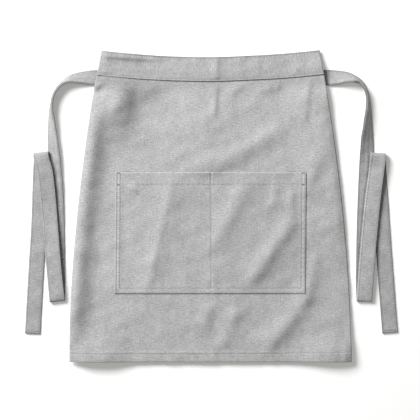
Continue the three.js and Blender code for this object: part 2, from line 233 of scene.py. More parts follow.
@dataclass(frozen=True)
class Drape:
    """The apron's outline, and how high its cloth lies over the floor.

    seam, bottom and the halves are the outline; the waist seam dips between its ends and lies a little
    higher on the right. tab is the part of the skirt inside the waistband and hem its turned-up edge.
    The cloth floats a little over the floor and its folds settle on it softly. tie_ and side_ values
    raise it over the ends of the ties, corner_ values at the waist's right end. hold, seam_ and hem_
    values shape it at its two seams, and rope_ values twist the hem. gather_ and under_band_ values
    are painted shade: on the folds drawn in under the waist seam and on the cloth just under the
    waistband; painted_seam_shade values are a painted shadow line just under the seam.
    """

    seam: float = 236.0
    bottom: float = -278.4
    waist_half: float = 204.0
    hem_half: float = 253.0
    flare: float = 1.87
    waist_dip: float = 11.0
    right_rise: float = 1.2
    right_part: Ramp = Ramp(0.0, 0.4)
    band_depth: float = 44.0
    band_top_half: float = 196.0
    tab: float = 12.0
    hem: float = 15.3
    cloth: float = 0.8
    float_height: float = 2.2
    softness: float = 0.9
    tie_lift: float = 2.3
    tie_reach: Ramp = Ramp(128.0, 164.0)
    tie_start: Ramp = Ramp(160.0, 206.0)
    tie_end: Ramp = Ramp(252.0, 280.0)
    tie_fall: float = 0.5
    side_lift: float = 0.9
    side_reach: Ramp = Ramp(198.0, 208.0)
    corner_lift: float = 4.5
    corner_reach: Ramp = Ramp(150.0, 207.0)
    corner_start: Ramp = Ramp(20.0, 225.0)
    corner_end: Ramp = Ramp(244.0, 282.0)
    corner_fall: float = 0.45
    crumples: int = 36
    crumple_seed: int = 11
    crumple_lengths: tuple[float, float] = (16.0, 70.0)
    crumple_slope: float = 0.00225
    hold: Ramp = Ramp(-22.0, 3.0)
    seam_rise: float = 0.5
    seam_reach: Ramp = Ramp(-30.0, 0.0)
    seam_groove: Mark = Mark(0.4, 2.6)
    hem_end: Ramp = Ramp(-1.0, 5.0)
    hem_groove: Mark = Mark(0.5, 1.3)
    hem_sag: float = 1.4
    hem_curve: float = 2.6
    hem_slope: float = 1.0
    rope: Mark = Mark(0.2, 6.0, 8.0)
    rope_twist: Ripple = Ripple(14.0, 1.6, 31.0)
    rope_slant: float = 0.8
    # Painted shade under the waist seam: on the drawn-in folds, on the cloth just under the band, and a
    # painted shadow line along the seam
    gather_painted_shade: float = 0.05
    gather_most: float = 0.5
    gather_start: Ramp = Ramp(-1.0, 8.0)
    gather_end: Ramp = Ramp(16.0, 34.0)
    under_band_painted_shade: float = 0.2
    under_band_end: Ramp = Ramp(0.0, 26.0)
    under_band_gap: Mark = Mark(0.9, 36.0, 52.0)
    painted_seam_shade: Mark = Mark(0.5, 1.0, 0.9)
    painted_seam_shade_end: Ramp = Ramp(-130.0, -70.0)

    def half_width(self, y: np.ndarray) -> np.ndarray:
        """Give half of the apron's width, on the skirt and on up the waistband.

        Args:
            y: Places towards the waist.

        Returns:
            The half width at each place.
        """
        down = np.clip((self.seam - y) / (self.seam - self.bottom), 0.0, 1.0)
        spread = self.hem_half - self.waist_half
        skirt = self.waist_half + spread * (1.0 - (1.0 - down) ** self.flare)
        narrowing = (self.band_top_half - self.waist_half) / self.band_depth
        return np.where(y > self.seam, self.waist_half + narrowing * (y - self.seam), skirt)

    def seam_line(self, share: np.ndarray) -> np.ndarray:
        """Give the waist seam's place at a share of the half width, from -1 to 1."""
        dip = self.waist_dip * (1.0 - share * share)
        return self.seam - dip + self.right_rise * self.right_part(share)

    def above_seam(self, x: np.ndarray, y: np.ndarray) -> np.ndarray:
        """Give how far places of the floor are above the waist seam."""
        return y - self.seam_line(np.clip(x / self.waist_half, -1.0, 1.0))

    def hem_line(self, x: np.ndarray) -> np.ndarray:
        """Give the place of the hem's stitch line, which sags and runs a little uphill."""
        share = x / self.hem_half
        return self.bottom + self.hem - self.hem_sag + (self.hem_curve * share + self.hem_slope) * share

    def folded(self, x: np.ndarray, y: np.ndarray) -> np.ndarray:
        """Give the height of all the skirt's folds together."""
        return sum(fold.rise(x, y) for fold in SKIRT_FOLDS)

    def tie_rise(self, x: np.ndarray, y: np.ndarray) -> np.ndarray:
        """Give the rise of the cloth over the end of a tie behind the waist, and of its right corner.

        Args:
            x: Places to the right of the middle.
            y: Places towards the waist.

        Returns:
            The rise over each place of the floor.
        """
        aside = np.abs(x)
        beside = self.tie_start(y) * (1.0 - self.tie_fall * self.tie_end(y))
        over = self.tie_lift * self.tie_reach(aside) + self.side_lift * self.side_reach(aside)
        corner = self.corner_lift * self.corner_reach(x) * self.corner_start(y)
        return over * beside + corner * (1.0 - self.corner_fall * self.corner_end(y))

    def crumple(self, x: np.ndarray, y: np.ndarray) -> np.ndarray:
        """Give the small, irregular waves of handled cloth.

        Args:
            x: Places to the right of the middle.
            y: Places towards the waist.

        Returns:
            The waves' height over each place of the floor.
        """
        rng = np.random.default_rng(self.crumple_seed)
        total = np.zeros_like(x)
        for _ in range(self.crumples):
            angle, phase = rng.uniform(0.0, math.tau, 2)
            length = rng.uniform(*self.crumple_lengths)
            wave = (x * math.cos(angle) + y * math.sin(angle)) * math.tau / length
            total += np.sin(wave + phase) * self.crumple_slope * length
        return total

    def painted_shade_under_seam(self, x: np.ndarray, y: np.ndarray) -> np.ndarray:
        """Give the painted shade under the waist seam: on the drawn-in folds, just under the band and in a
        line along the seam.

        Args:
            x: Places to the right of the middle.
            y: Places towards the waist.

        Returns:
            The painted shade at each place.
        """
        below = -self.above_seam(x, y)
        # Painted shade on the folds drawn in under the seam, stronger where they stand higher
        drawn = np.clip(self.gather_painted_shade * self.folded(x, y), 0.0, self.gather_most)
        drawn *= self.gather_start(below) * (1.0 - self.gather_end(below))
        # Painted shade just under the waistband, and a painted shadow line along the seam on the left
        under_band = self.under_band_painted_shade * (1.0 - self.under_band_end(below)) * (1.0 - self.under_band_gap(x))
        line = self.painted_seam_shade(below) * (1.0 - self.painted_seam_shade_end(x))
        return drawn + under_band + line

    def skirt_top(self, x: np.ndarray, y: np.ndarray) -> np.ndarray:
        """Give the height of the skirt's front face.

        Args:
            x: Places to the right of the middle.
            y: Places towards the waist.

        Returns:
            The height over each place of the floor.
        """
        above = self.above_seam(x, y)
        lift = (self.folded(x, y) + self.crumple(x, y)) * (1.0 - self.hold(above))
        settled = self.softness * np.logaddexp(0.0, (lift + self.float_height) / self.softness)
        banded = self.seam_rise * self.seam_reach(above) - self.seam_groove(above)
        hemmed = self.cloth * (1.0 - self.hem_end(y - self.bottom - self.hem))
        sewn = self.hem_groove(y - self.hem_line(x))
        roped = self.rope(y - self.bottom) * self.rope_twist(x + self.rope_slant * y, x)
        return self.cloth + settled + banded + hemmed + roped - sewn + self.tie_rise(x, y)


def new_material(name: str) -> tuple[bpy.types.Material, bpy.types.NodeTree, bpy.types.Node]:
    """Make an empty material.

    Args:
        name: Its name.

    Returns:
        The material, its nodes and its shader.
    """
    material = bpy.data.materials.new(name)
    material.use_nodes = True
    return material, material.node_tree, material.node_tree.nodes["Principled BSDF"]


def feed(tree: bpy.types.NodeTree, inputs: Sequence[bpy.types.NodeSocket], values: tuple) -> None:
    """Set a node's inputs.

    Args:
        tree: The material's nodes.
        inputs: The inputs, in order.
        values: For each a socket to read or a value to hold.
    """
    for socket, value in zip(inputs, values):
        if isinstance(value, bpy.types.NodeSocket):
            tree.links.new(value, socket)
        else:
            socket.default_value = value


def calculate(tree: bpy.types.NodeTree, operation: str, *values: object) -> bpy.types.NodeSocket:
    """Add a sum to a material.

    Args:
        tree: The material's nodes.
        operation: What it works out.
        values: Its numbers in order, each a socket or a value.

    Returns:
        The socket of its result.
    """
    node = tree.nodes.new("ShaderNodeMath")
    node.operation = operation
    feed(tree, node.inputs, values)
    return node.outputs[0]


def mix(tree: bpy.types.NodeTree, way: str, *values: object) -> bpy.types.NodeSocket:
    """Add a mix of two colours to a material.

    Args:
        tree: The material's nodes.
        way: How the second colour changes the first.
        values: The share, the first colour and the second, each a socket or a value.

    Returns:
        The socket of the mixed colour.
    """
    node = tree.nodes.new("ShaderNodeMix")
    node.data_type = "RGBA"
    node.blend_type = way
    feed(tree, (node.inputs[0], node.inputs[6], node.inputs[7]), values)
    return node.outputs[2]


def painted_shade_of(tree: bpy.types.NodeTree) -> bpy.types.NodeSocket:
    """Read the painted shade that a piece's mesh holds.

    Args:
        tree: The material's nodes.

    Returns:
        The socket of the painted shade.
    """
    node = tree.nodes.new("ShaderNodeAttribute")
    node.attribute_name = PAINTED_SHADE_NAME
    return node.outputs["Fac"]


def grey(tone: float) -> tuple[float, float, float, float]:
    """Give a neutral colour."""
    return (tone, tone, tone, 1.0)


class Weft(Enum):
    """Which way the uneven yarn runs on a piece of cloth, in the cloth's own flat directions."""

    ACROSS = "across"
    ALONG = "along"


@dataclass(frozen=True)
class Grain:
    """An uneven pattern: a fleck's sizes along and across the weft, its octaves and its own offset."""

    along: float
    across: float
    detail: float
    seed: float


# The cloth's patterns, and how far a seed of 1 moves a pattern
FLECKS = Grain(along=2.6, across=1.7, detail=1.0, seed=1.0)
SLUBS = Grain(along=9.0, across=1.6, detail=2.0, seed=2.0)
STREAKS = Grain(along=1.5, across=26.0, detail=1.0, seed=3.0)
MOTTLES = Grain(along=38.0, across=30.0, detail=2.0, seed=4.0)
SEED_SHIFT = (13.1, 7.7, 1.0)


@dataclass(frozen=True)
class MelangeCloth:
    """Grey plain-woven cloth of light and dark yarns, flecked and slightly slubbed.

    tone is its grey, yarn the width of a yarn and contrast how far the yarns' tones are off the cloth's.
    fleck, slub, streak, mottle and thread are the strengths of its patterns.
    """

    name: str
    tone: float
    weft: Weft = Weft.ACROSS
    contrast: float = 0.55
    fleck: float = 0.85
    slub: float = 0.75
    streak: float = 0.2
    mottle: float = 0.12
    thread: float = 0.1
    yarn: float = 0.75
    # How far the mesh's painted shade darkens the cloth's colour, and lightens it where below 0
    painted_seam_shade: float = 0.58
    relief: float = 0.12
    relief_share: float = 0.5
    roughness: float = 0.92
    gloss: float = 0.15

    def noise(
        self, tree: bpy.types.NodeTree, flat: bpy.types.NodeSocket, grain: Grain
    ) -> bpy.types.NodeSocket:
        """Add a stretched noise over the flat cloth.

        Args:
            tree: The material's nodes.
            flat: The socket of the flat cloth map.
            grain: The pattern's sizes.

        Returns:
            The socket that gives the noise, about 0 in the middle.
        """
        place = tree.nodes.new("ShaderNodeMapping")
        across, along = 1.0 / (grain.across * MM), 1.0 / (grain.along * MM)
        turned = self.weft is Weft.ALONG
        place.inputs["Scale"].default_value = (across, along, 1.0) if turned else (along, across, 1.0)
        place.inputs["Location"].default_value = tuple(grain.seed * shift for shift in SEED_SHIFT)
        noise = tree.nodes.new("ShaderNodeTexNoise")
        noise.inputs["Scale"].default_value = 1.0
        noise.inputs["Detail"].default_value = grain.detail
        tree.links.new(flat, place.inputs["Vector"])
        tree.links.new(place.outputs["Vector"], noise.inputs["Vector"])
        return calculate(tree, "SUBTRACT", noise.outputs["Fac"], 0.5)

    def weave(self, tree: bpy.types.NodeTree, flat: bpy.types.NodeSocket) -> bpy.types.NodeSocket:
        """Add the over and under of the yarns, as the product of two sines.

        Args:
            tree: The material's nodes.
            flat: The socket of the flat cloth map.

        Returns:
            The socket that gives it, from -1 to 1.
        """
        split = tree.nodes.new("ShaderNodeSeparateXYZ")
        tree.links.new(flat, split.inputs[0])
        waves = []
        for axis in "XY":
            turns = calculate(tree, "MULTIPLY", split.outputs[axis], math.pi / (self.yarn * MM))
            waves.append(calculate(tree, "SINE", turns))
        return calculate(tree, "MULTIPLY", *waves)

    def build(self) -> bpy.types.Material:
        """Make the material.

        Returns:
            A woven material that reads the piece's own flat cloth map and its painted shade.
        """
        material, tree, shader = new_material(self.name)
        cloth_map = tree.nodes.new("ShaderNodeUVMap")
        cloth_map.uv_map = UV_NAME
        flat = cloth_map.outputs["UV"]
        patterns = (
            (self.noise(tree, flat, FLECKS), self.fleck),
            (self.noise(tree, flat, SLUBS), self.slub),
            (self.noise(tree, flat, STREAKS), self.streak),
            (self.noise(tree, flat, MOTTLES), self.mottle),
            (self.weave(tree, flat), self.thread),
        )
        total = 0.5
        for pattern, strength in patterns:
            total = calculate(tree, "MULTIPLY_ADD", pattern, strength, total)
        dark, light = grey(self.tone * (1.0 - self.contrast)), grey(self.tone * (1.0 + self.contrast))
        yarns = mix(tree, "MIX", total, dark, light)
        # Painted shade and painted highlight: the yarns' colour is darkened by the mesh's painted shade,
        # lightened where it is below 0
        seams = calculate(tree, "MULTIPLY_ADD", painted_shade_of(tree), -self.painted_seam_shade, 1.0)
        tree.links.new(mix(tree, "MULTIPLY", 1.0, yarns, seams), shader.inputs["Base Color"])
        bump = tree.nodes.new("ShaderNodeBump")
        bump.inputs["Strength"].default_value = self.relief_share
        bump.inputs["Distance"].default_value = self.relief * MM
        tree.links.new(total, bump.inputs["Height"])
        tree.links.new(bump.outputs["Normal"], shader.inputs["Normal"])
        shader.inputs["Roughness"].default_value = self.roughness
        shader.inputs["Specular IOR Level"].default_value = self.gloss
        return material


@dataclass(frozen=True)
class SewingThread:
    """Matte thread a shade off the cloth, faintly twisted, with a painted shadow where it dips into a
    needle hole.
    """

    name: str = "sewing_thread"
    tone: float = 0.5
    contrast: float = 0.2
    # Grey that the painted shadow darkens the thread towards in the needle holes
    hole: float = 0.25
    twists: float = 900.0
    stops: tuple[float, float] = (0.3, 0.7)
    roughness: float = 0.7
    gloss: float = 0.25

    def build(self) -> bpy.types.Material:
        """Make the material, with its twist on the object's own coordinates.

        Returns:
            The thread's material.
        """
        material, tree, shader = new_material(self.name)
        place = tree.nodes.new("ShaderNodeTexCoord")
        twist = tree.nodes.new("ShaderNodeTexNoise")
        twist.inputs["Scale"].default_value = self.twists
        ramp = tree.nodes.new("ShaderNodeValToRGB")
        for stop, position, side in zip(ramp.color_ramp.elements, self.stops, (-1.0, 1.0)):
            stop.position = position
            stop.color = grey(self.tone * (1.0 + side * self.contrast))
        tree.links.new(place.outputs["Object"], twist.inputs["Vector"])
        tree.links.new(twist.outputs["Fac"], ramp.inputs["Fac"])
        # Painted shadow: the thread's colour is darkened towards the hole grey by the mesh's painted shade
        colour = mix(tree, "MULTIPLY", painted_shade_of(tree), ramp.outputs["Color"], grey(self.hole))
        tree.links.new(colour, shader.inputs["Base Color"])
        shader.inputs["Roughness"].default_value = self.roughness
        shader.inputs["Specular IOR Level"].default_value = self.gloss
        return material


@dataclass
class ClothSheet:
    """A grid of points of one piece of cloth, with its flat map and its painted shade."""

    points: np.ndarray
    flat: np.ndarray
    shade: np.ndarray

    def add_to(self, bm: bmesh.types.BMesh, closed: bool = False) -> None:
        """Shape a grid to the points.

        Args:
            bm: The mesh that takes the grid.
            closed: Whether the first and last columns are the same line, as round a strap's section.
        """
        rows, columns = self.points.shape[:2]
        uv = bm.loops.layers.uv.get(UV_NAME) or bm.loops.layers.uv.new(UV_NAME)
        # Each point's painted shade goes into a float layer of the mesh
        shade = bm.verts.layers.float.get(PAINTED_SHADE_NAME) or bm.verts.layers.float.new(PAINTED_SHADE_NAME)
        made = bmesh.ops.create_grid(bm, x_segments=columns - 1, y_segments=rows - 1, size=1.0)["verts"]
        spots = {}
        for vert in made:
            column = round((vert.co.x + 1.0) * 0.5 * (columns - 1))
            row = round((1.0 - vert.co.y) * 0.5 * (rows - 1))
            spots[vert] = (row, column)
            vert.co = Vector(self.points[row, column]) * MM
            vert[shade] = float(self.shade[row, column])
        faces = {face for vert in made for face in vert.link_faces}
        for face in faces:
            face.smooth = True
            for loop in face.loops:
                loop[uv].uv = self.flat[spots[loop.vert]] * MM
        if closed:
            bmesh.ops.remove_doubles(bm, verts=made, dist=MERGE * MM)

    def to_bmesh(self, closed: bool = False) -> bmesh.types.BMesh:
        """Make a mesh of this sheet alone.

        Args:
            closed: Whether it closes round a section, whose ends are then filled.

        Returns:
            The mesh.
        """
        bm = bmesh.new()
        self.add_to(bm, closed)
        if closed:
            close_ends(bm)
        return bm


def flat_map(points: np.ndarray, column: int, aside: float = 0.0) -> np.ndarray:
    """Lay a grid of points out flat.

    Args:
        points: The grid, from the top of the cloth down.
        column: The column whose length the flat cloth has.
        aside: How far the flat cloth is moved, so that no two pieces show the same flecks.

    Returns:
        The flat places of the points.
    """
    down = np.broadcast_to(-lengths(points[:, column])[:, None], points.shape[:2])
    return np.stack([points[..., 0] + aside, down], axis=-1)


def close_ends(bm: bmesh.types.BMesh) -> None:
    """Fill the open ends of tubes and turn all faces outwards.

    Args:
        bm: The mesh of the tubes.
    """
    rims = [edge for edge in bm.edges if edge.is_boundary]
    bmesh.ops.holes_fill(bm, edges=rims, sides=0)
    bmesh.ops.recalc_face_normals(bm, faces=bm.faces[:])


def place_mesh(name: str, bm: bmesh.types.BMesh, material: bpy.types.Material) -> bpy.types.Object:
    """Put a mesh into the scene.

    Args:
        name: The object's name.
        bm: Its mesh, which is freed.
        material: Its finish.

    Returns:
        The new object.
    """
    mesh = bpy.data.meshes.new(name)
    bm.to_mesh(mesh)
    bm.free()
    mesh.materials.append(material)
    made = bpy.data.objects.new(name, mesh)
    bpy.context.collection.objects.link(made)
    return made


def make_piece(
    name: str, bm: bmesh.types.BMesh, material: bpy.types.Material
) -> bpy.types.Object:
    """Put a piece of the apron into the scene, riding on its one body.

    Args:
        name: The piece's name.
        bm: Its mesh, which is freed.
        material: Its finish.

    Returns:
        The new object.
    """
    piece = place_mesh(name, bm, material)
    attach(piece, BODY)
    return piece


def thicken(piece: bpy.types.Object, wall: float) -> None:
    """Give a sheet its wall, inwards from its shown face.

    Args:
        piece: The sheet's object.
        wall: The wall's thickness.
    """
    solid = piece.modifiers.new("wall", "SOLIDIFY")
    solid.thickness = wall * MM
    solid.offset = -1.0
    solid.use_even_offset = False


@dataclass
class Seam:
    """A line to sew along: its points, the cloth's outward direction at each, and the painted shade of its
    thread.

    dark is the painted shade in the middle of a stitch and holes the painted shadow at the needle holes,
    from 0 to 1.
    """

    points: np.ndarray
    ups: np.ndarray
    dark: float = 0.0
    holes: float = 1.0


@dataclass(frozen=True)
class Stitching:
    """A sewing machine's straight stitch: a thread that dips into a needle hole between stitches, with a
    painted shadow there.

    phases are the places along a stitch that get a ring of points. The thread lies in the cloth by
    sunk, a share of its radius, and is wider by squash in the holes.
    """

    pitch: float = 3.9
    radius: float = 0.4
    dip: float = 0.16
    sunk: float = 0.4
    squash: float = 0.2
    sides: int = 6
    phases: tuple[float, ...] = (0.0, 0.12, 0.25, 0.5, 0.75, 0.88)

    def thread(self, seam: Seam) -> ClothSheet:
        """Sweep a thread along a seam.

        Args:
            seam: The line that it follows.

        Returns:
            The thread as a sheet that closes round its section.
        """
        run = lengths(seam.points)
        count = max(1, round(run[-1] / self.pitch))
        place = np.append((np.arange(count)[:, None] + np.array(self.phases)[None]).ravel(), count)
        where = place * run[-1] / count
        swing = np.clip(np.sin(np.pi * (place % 1.0)), 0.0, 1.0)
        arch = np.sqrt(swing)
        middle = np.stack([np.interp(where, run, seam.points[:, axis]) for axis in range(3)], axis=-1)
        up = np.stack([np.interp(where, run, seam.ups[:, axis]) for axis in range(3)], axis=-1)
        along = np.gradient(middle, axis=0)
        side = np.cross(up, along)
        side /= np.linalg.norm(side, axis=1)[:, None]
        up = np.cross(along, side)
        up /= np.linalg.norm(up, axis=1)[:, None]
        middle = middle + up * (arch * (self.dip + self.sunk * self.radius) - self.dip)[:, None]
        angle = np.linspace(0.0, math.tau, self.sides + 1)
        wide = self.radius * (1.0 + self.squash - self.squash * arch)[:, None, None]
        ring = side[:, None] * np.cos(angle)[None, :, None] + up[:, None] * np.sin(angle)[None, :, None]
        flat = np.stack(np.broadcast_arrays(angle[None] * self.radius, -where[:, None]), axis=-1)
        # Painted shadow: the thread's painted shade runs from dark mid-stitch to holes at each needle hole
        shade = seam.dark + (seam.holes - seam.dark) * (1.0 - swing)
        painted_shades = np.broadcast_to(shade[:, None], flat.shape[:2])
        return ClothSheet(middle[:, None] + ring * wide, flat, painted_shades)


STITCH = Stitching()


def sew_lines(name: str, seams: list[Seam], thread: bpy.types.Material) -> bpy.types.Object:
    """Make one piece of all the stitches of some lines.

    Args:
        name: The piece's name.
        seams: The lines.
        thread: The thread's finish.

    Returns:
        The thread's object.
    """
    bm = bmesh.new()
    for seam in seams:
        STITCH.thread(seam).add_to(bm, closed=True)
    close_ends(bm)
    return make_piece(name, bm, thread)


def surface_line(
    height: Callable[[np.ndarray, np.ndarray], np.ndarray],
    x: np.ndarray,
    y: np.ndarray,
    dark: float = 0.0,
    holes: float = 1.0,
) -> Seam:
    """Lay a line of the floor plan on a cloth's front face.

    Args:
        height: Gives the face's height at x and y.
        x: The line's places to the right of the middle.
        y: Its places towards the waist.
        dark: The thread's painted shade in the middle of a stitch.
        holes: Its painted shadow at the needle holes.

    Returns:
        The line on the face.
    """
    z = height(x, y)
    dzdx = (height(x + SLOPE_REACH, y) - height(x - SLOPE_REACH, y)) / (2 * SLOPE_REACH)
    dzdy = (height(x, y + SLOPE_REACH) - height(x, y - SLOPE_REACH)) / (2 * SLOPE_REACH)
    ups = np.stack([-dzdx, -dzdy, np.ones_like(z)], axis=-1)
    return Seam(np.stack([x, y, z], axis=-1), ups, dark, holes)


@dataclass
class Skirt:
    """The flared panel with its turned-up hem.

    turn_radius, turns and back_rows shape the hem's turned edge, which stays floor_gap over the floor.
    """

    drape: Drape
    step: float = 2.7
    turn_radius: float = 0.95
    turns: tuple[float, ...] = (45.0, 90.0, 135.0)
    back_rows: int = 7
    floor_gap: float = 0.05
    line_inset: float = 1.5
    # Painted shade along the hem's stitch line
    stitch_line_painted_shade: Mark = Mark(0.22, 0.9)
    samples: int = 200
    node: str = "skirt_panel"
    slot: str = "skirt_cloth"

    def sheet(self) -> ClothSheet:
        """Work out the panel.

        Returns:
            The sheet, from its tab in the waistband to the edge of its hem's back layer.
        """
        drape = self.drape
        share = stations(-drape.hem_half, drape.hem_half, self.step)[None, :] / drape.hem_half
        top = drape.seam_line(share) + drape.tab
        reach = drape.seam + drape.tab - drape.bottom
        down = stations(0.0, reach, self.step, (reach - drape.hem,))[:, None] / reach
        y = top + (drape.bottom - top) * down
        x = share * drape.half_width(y)
        rows = [np.stack([x, y, drape.skirt_top(x, y)], axis=-1)]
        edge = rows[0][-1]
        for turn in np.radians(self.turns):
            way = np.array([0.0, -math.sin(turn), math.cos(turn) - 1.0])
            rows.append((edge + self.turn_radius * way)[None])
        for back in np.linspace(0.0, drape.hem, self.back_rows):
            yb = edge[:, 1] + back
            xb = share[0] * drape.half_width(yb)
            zb = drape.skirt_top(xb, yb) - 2.0 * self.turn_radius
            rows.append(np.stack([xb, yb, np.maximum(zb, self.floor_gap)], axis=-1)[None])
        points = np.concatenate(rows)
        shade = np.zeros(points.shape[:2])
        # Painted shade along the hem's stitch line and under the waist seam, on the front rows only
        shade[: len(y)] = np.maximum(self.stitch_line_painted_shade(y - drape.hem_line(x)), drape.painted_shade_under_seam(x, y))
        return ClothSheet(points, flat_map(points, points.shape[1] // 2), shade)

    def flat_area(self) -> float:
        """Work out the area of the flat panel.

        Returns:
            The area in square millimetres, with the hem and the tab.
        """
        drape = self.drape
        y = np.linspace(drape.bottom, drape.seam, self.samples)
        area = 2.0 * np.trapz(drape.half_width(y), y)
        return area + 2.0 * drape.hem_half * drape.hem + 2.0 * drape.waist_half * drape.tab

    def build(self, cloth: bpy.types.Material, thread: bpy.types.Material) -> bpy.types.Object:
        """Make the panel and its hem's stitches.

        Args:
            cloth: The panel's finish.
            thread: The stitches' finish.

        Returns:
            The panel's object.
        """
        drape = self.drape
        piece = make_piece("skirt", self.sheet().to_bmesh(), cloth)
        thicken(piece, drape.cloth)
        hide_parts(self.node)
        end = drape.hem_half - self.line_inset
        x = np.linspace(-end, end, self.samples)
        line = surface_line(drape.skirt_top, x, drape.hem_line(x))
        stitches = sew_lines("skirt_hem_stitches", [line], thread)
        self.flat_area() * MM * MM
        return piece


class Layer(Enum):
    """The stretches of the waistband's strip."""

    TUCK = "tucked under"
    FRONT = "front"
    BACK = "back"


@dataclass
class Waistband:
    """The strip folded over the skirt's top edge.

    line_up, rim_up and top_start are distances above its lower edge: of its stitch line, of the ridge
    along its top and of the rounding there. stack is the height of its layers at the skirt's tab, and
    stack_fall how much less it is at the top. corner_ values raise its top left corner. fold_least,
    fold_part and top_fold_painted_shade paint shade along the fold at its top, mostly on the left,
    and stitch_line_painted_shade paints shade along its stitch line.
    """

    drape: Drape
    step: float = 2.4
    wall: float = 0.6
    tuck: float = 8.0
    tuck_end: float = 0.3
    tuck_rows: int = 5
    tuck_flat: float = 2.0
    tuck_depth: float = 1.5
    back_rows: int = 12
    back_gap: float = 0.1
    back_turn: Mark = Mark(0.5, 1.0)
    low_up: float = 0.4
    line_up: float = 3.6
    rim_up: float = 43.2
    stack: float = 5.4
    stack_fall: float = 2.0
    top_start: float = 42.6
    top_reach: float = 1.5
    top_round: float = 0.9
    low_round: Mark = Mark(0.7, 0.5, -0.3)
    groove: Mark = Mark(0.3, 1.2)
    rim: Mark = Mark(0.8, 1.1)
    dent_start: Ramp = Ramp(1.0, 8.0)
    crumple_share: float = 0.8
    crumple_scale: tuple[float, float] = (1.6, 1.2)
    crumple_aside: float = 300.0
    crumple_start: Ramp = Ramp(2.0, 10.0)
    corner_lift: float = 2.4
    corner_start: Ramp = Ramp(18.0, 44.0)
    corner_end: Ramp = Ramp(-150.0, -90.0)
    # Painted shade along its stitch line and along the fold at its top
    stitch_line_painted_shade: Mark = Mark(0.16, 0.9)
    top_fold_painted_shade: Mark = Mark(1.0, 0.8, 42.0)
    fold_least: float = 0.02
    fold_part: Mark = Mark(0.6, 46.0, -106.0)
    line_end: float = 0.992
    line_samples: int = 260
    # Painted shadow at the needle holes of its stitch line
    line_hole_painted_shadow: float = 0.7
    node: str = "waistband"
    slot: str = "waistband_cloth"

    def front(self, share: np.ndarray, up: np.ndarray) -> np.ndarray:
        """Give the height of the band's front face.

        Args:
            share: Place across, from -1 to 1.
            up: Distance above the band's lower edge.

        Returns:
            The face's height over the floor.
        """
        drape = self.drape
        y = drape.seam_line(share) + up
        x = share * drape.half_width(y)
        stack = self.stack - self.stack_fall * Ramp(drape.tab, drape.band_depth)(up)
        past = np.clip(up - self.top_start, 0.0, None) / self.top_reach
        round_top = self.top_round * (1.0 - np.sqrt(np.clip(1.0 - past**2, 0.0, 1.0)))
        edges = self.rim(up - self.rim_up) - round_top - self.low_round(up)
        dents = sum(fold.rise(x, y) for fold in BAND_FOLDS) * self.dent_start(up)
        wide, high = self.crumple_scale
        small = drape.crumple(x * wide + self.crumple_aside, y * high) * self.crumple_start(up)
        corner = self.corner_lift * self.corner_start(up) * (1.0 - self.corner_end(x))
        raised = dents + self.crumple_share * small + corner + drape.tie_rise(x, y)
        return stack + edges - self.groove(up - self.line_up) + raised

    def height(self, layer: Layer, share: np.ndarray, up: float) -> np.ndarray:
        """Give the height of one line of the strip.

        Args:
            layer: The stretch of the strip that it is on.
            share: Places across, from -1 to 1.
            up: Its distance above the band's lower edge.

        Returns:
            The heights over the floor.
        """
        if layer is Layer.FRONT:
            return self.front(share, np.full_like(share, up))
        if layer is Layer.TUCK:
            return self.front(share, np.full_like(share, max(up, self.tuck_flat))) - self.tuck_depth
        drape = self.drape
        y = drape.seam_line(share) + up
        x = share * drape.half_width(y)
        return drape.tie_rise(x, y) + self.back_gap + self.back_turn(up - drape.band_depth)

    def sheet(self) -> ClothSheet:
        """Work out the strip: tucked under, up the front, over the top and down the back.

        Returns:
            The sheet, from the lower edge of its back.
        """
        drape = self.drape
        share = stations(-drape.waist_half, drape.waist_half, self.step) / drape.waist_half
        marks = (self.low_up, self.line_up, self.rim_up)
        lines = [(Layer.TUCK, up) for up in np.linspace(self.tuck, self.tuck_end, self.tuck_rows)]
        lines += [(Layer.FRONT, up) for up in stations(0.0, drape.band_depth, self.step, marks)]
        lines += [(Layer.BACK, up) for up in np.linspace(drape.band_depth, 0.0, self.back_rows)]
        rows, painted_shades = [], []
        for layer, up in reversed(lines):
            y = drape.seam_line(share) + up
            x = share * drape.half_width(y)
            rows.append(np.stack([x, y, self.height(layer, share, up)], axis=-1))
            # Painted shade on the front: along the fold at the top, mostly on the left, and along the
            # stitch line
            fold = (self.fold_least + self.fold_part(x)) * self.top_fold_painted_shade(up)
            shade = np.maximum(self.stitch_line_painted_shade(up - self.line_up), fold)
            painted_shades.append(shade if layer is Layer.FRONT else np.zeros_like(x))
        points = np.array(rows)
        return ClothSheet(points, flat_map(points, points.shape[1] // 2), np.array(painted_shades))

    def build(self, cloth: bpy.types.Material, thread: bpy.types.Material) -> bpy.types.Object:
        """Make the band and its edge stitches.

        Args:
            cloth: The band's finish.
            thread: The stitches' finish.

        Returns:
            The band's object.
        """
        drape = self.drape
        piece = make_piece("waistband_strip", self.sheet().to_bmesh(), cloth)
        thicken(piece, self.wall)
        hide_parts(self.node)
        share = np.linspace(-self.line_end, self.line_end, self.line_samples)
        y = drape.seam_line(share) + self.line_up
        z = self.front(share, np.full_like(share, self.line_up))
        points = np.stack([share * drape.half_width(y), y, z], axis=-1)
        line = Seam(points, np.broadcast_to([0.0, 0.0, 1.0], points.shape), holes=self.line_hole_painted_shadow)
        stitches = sew_lines("waistband_stitches", [line], thread)
        return piece


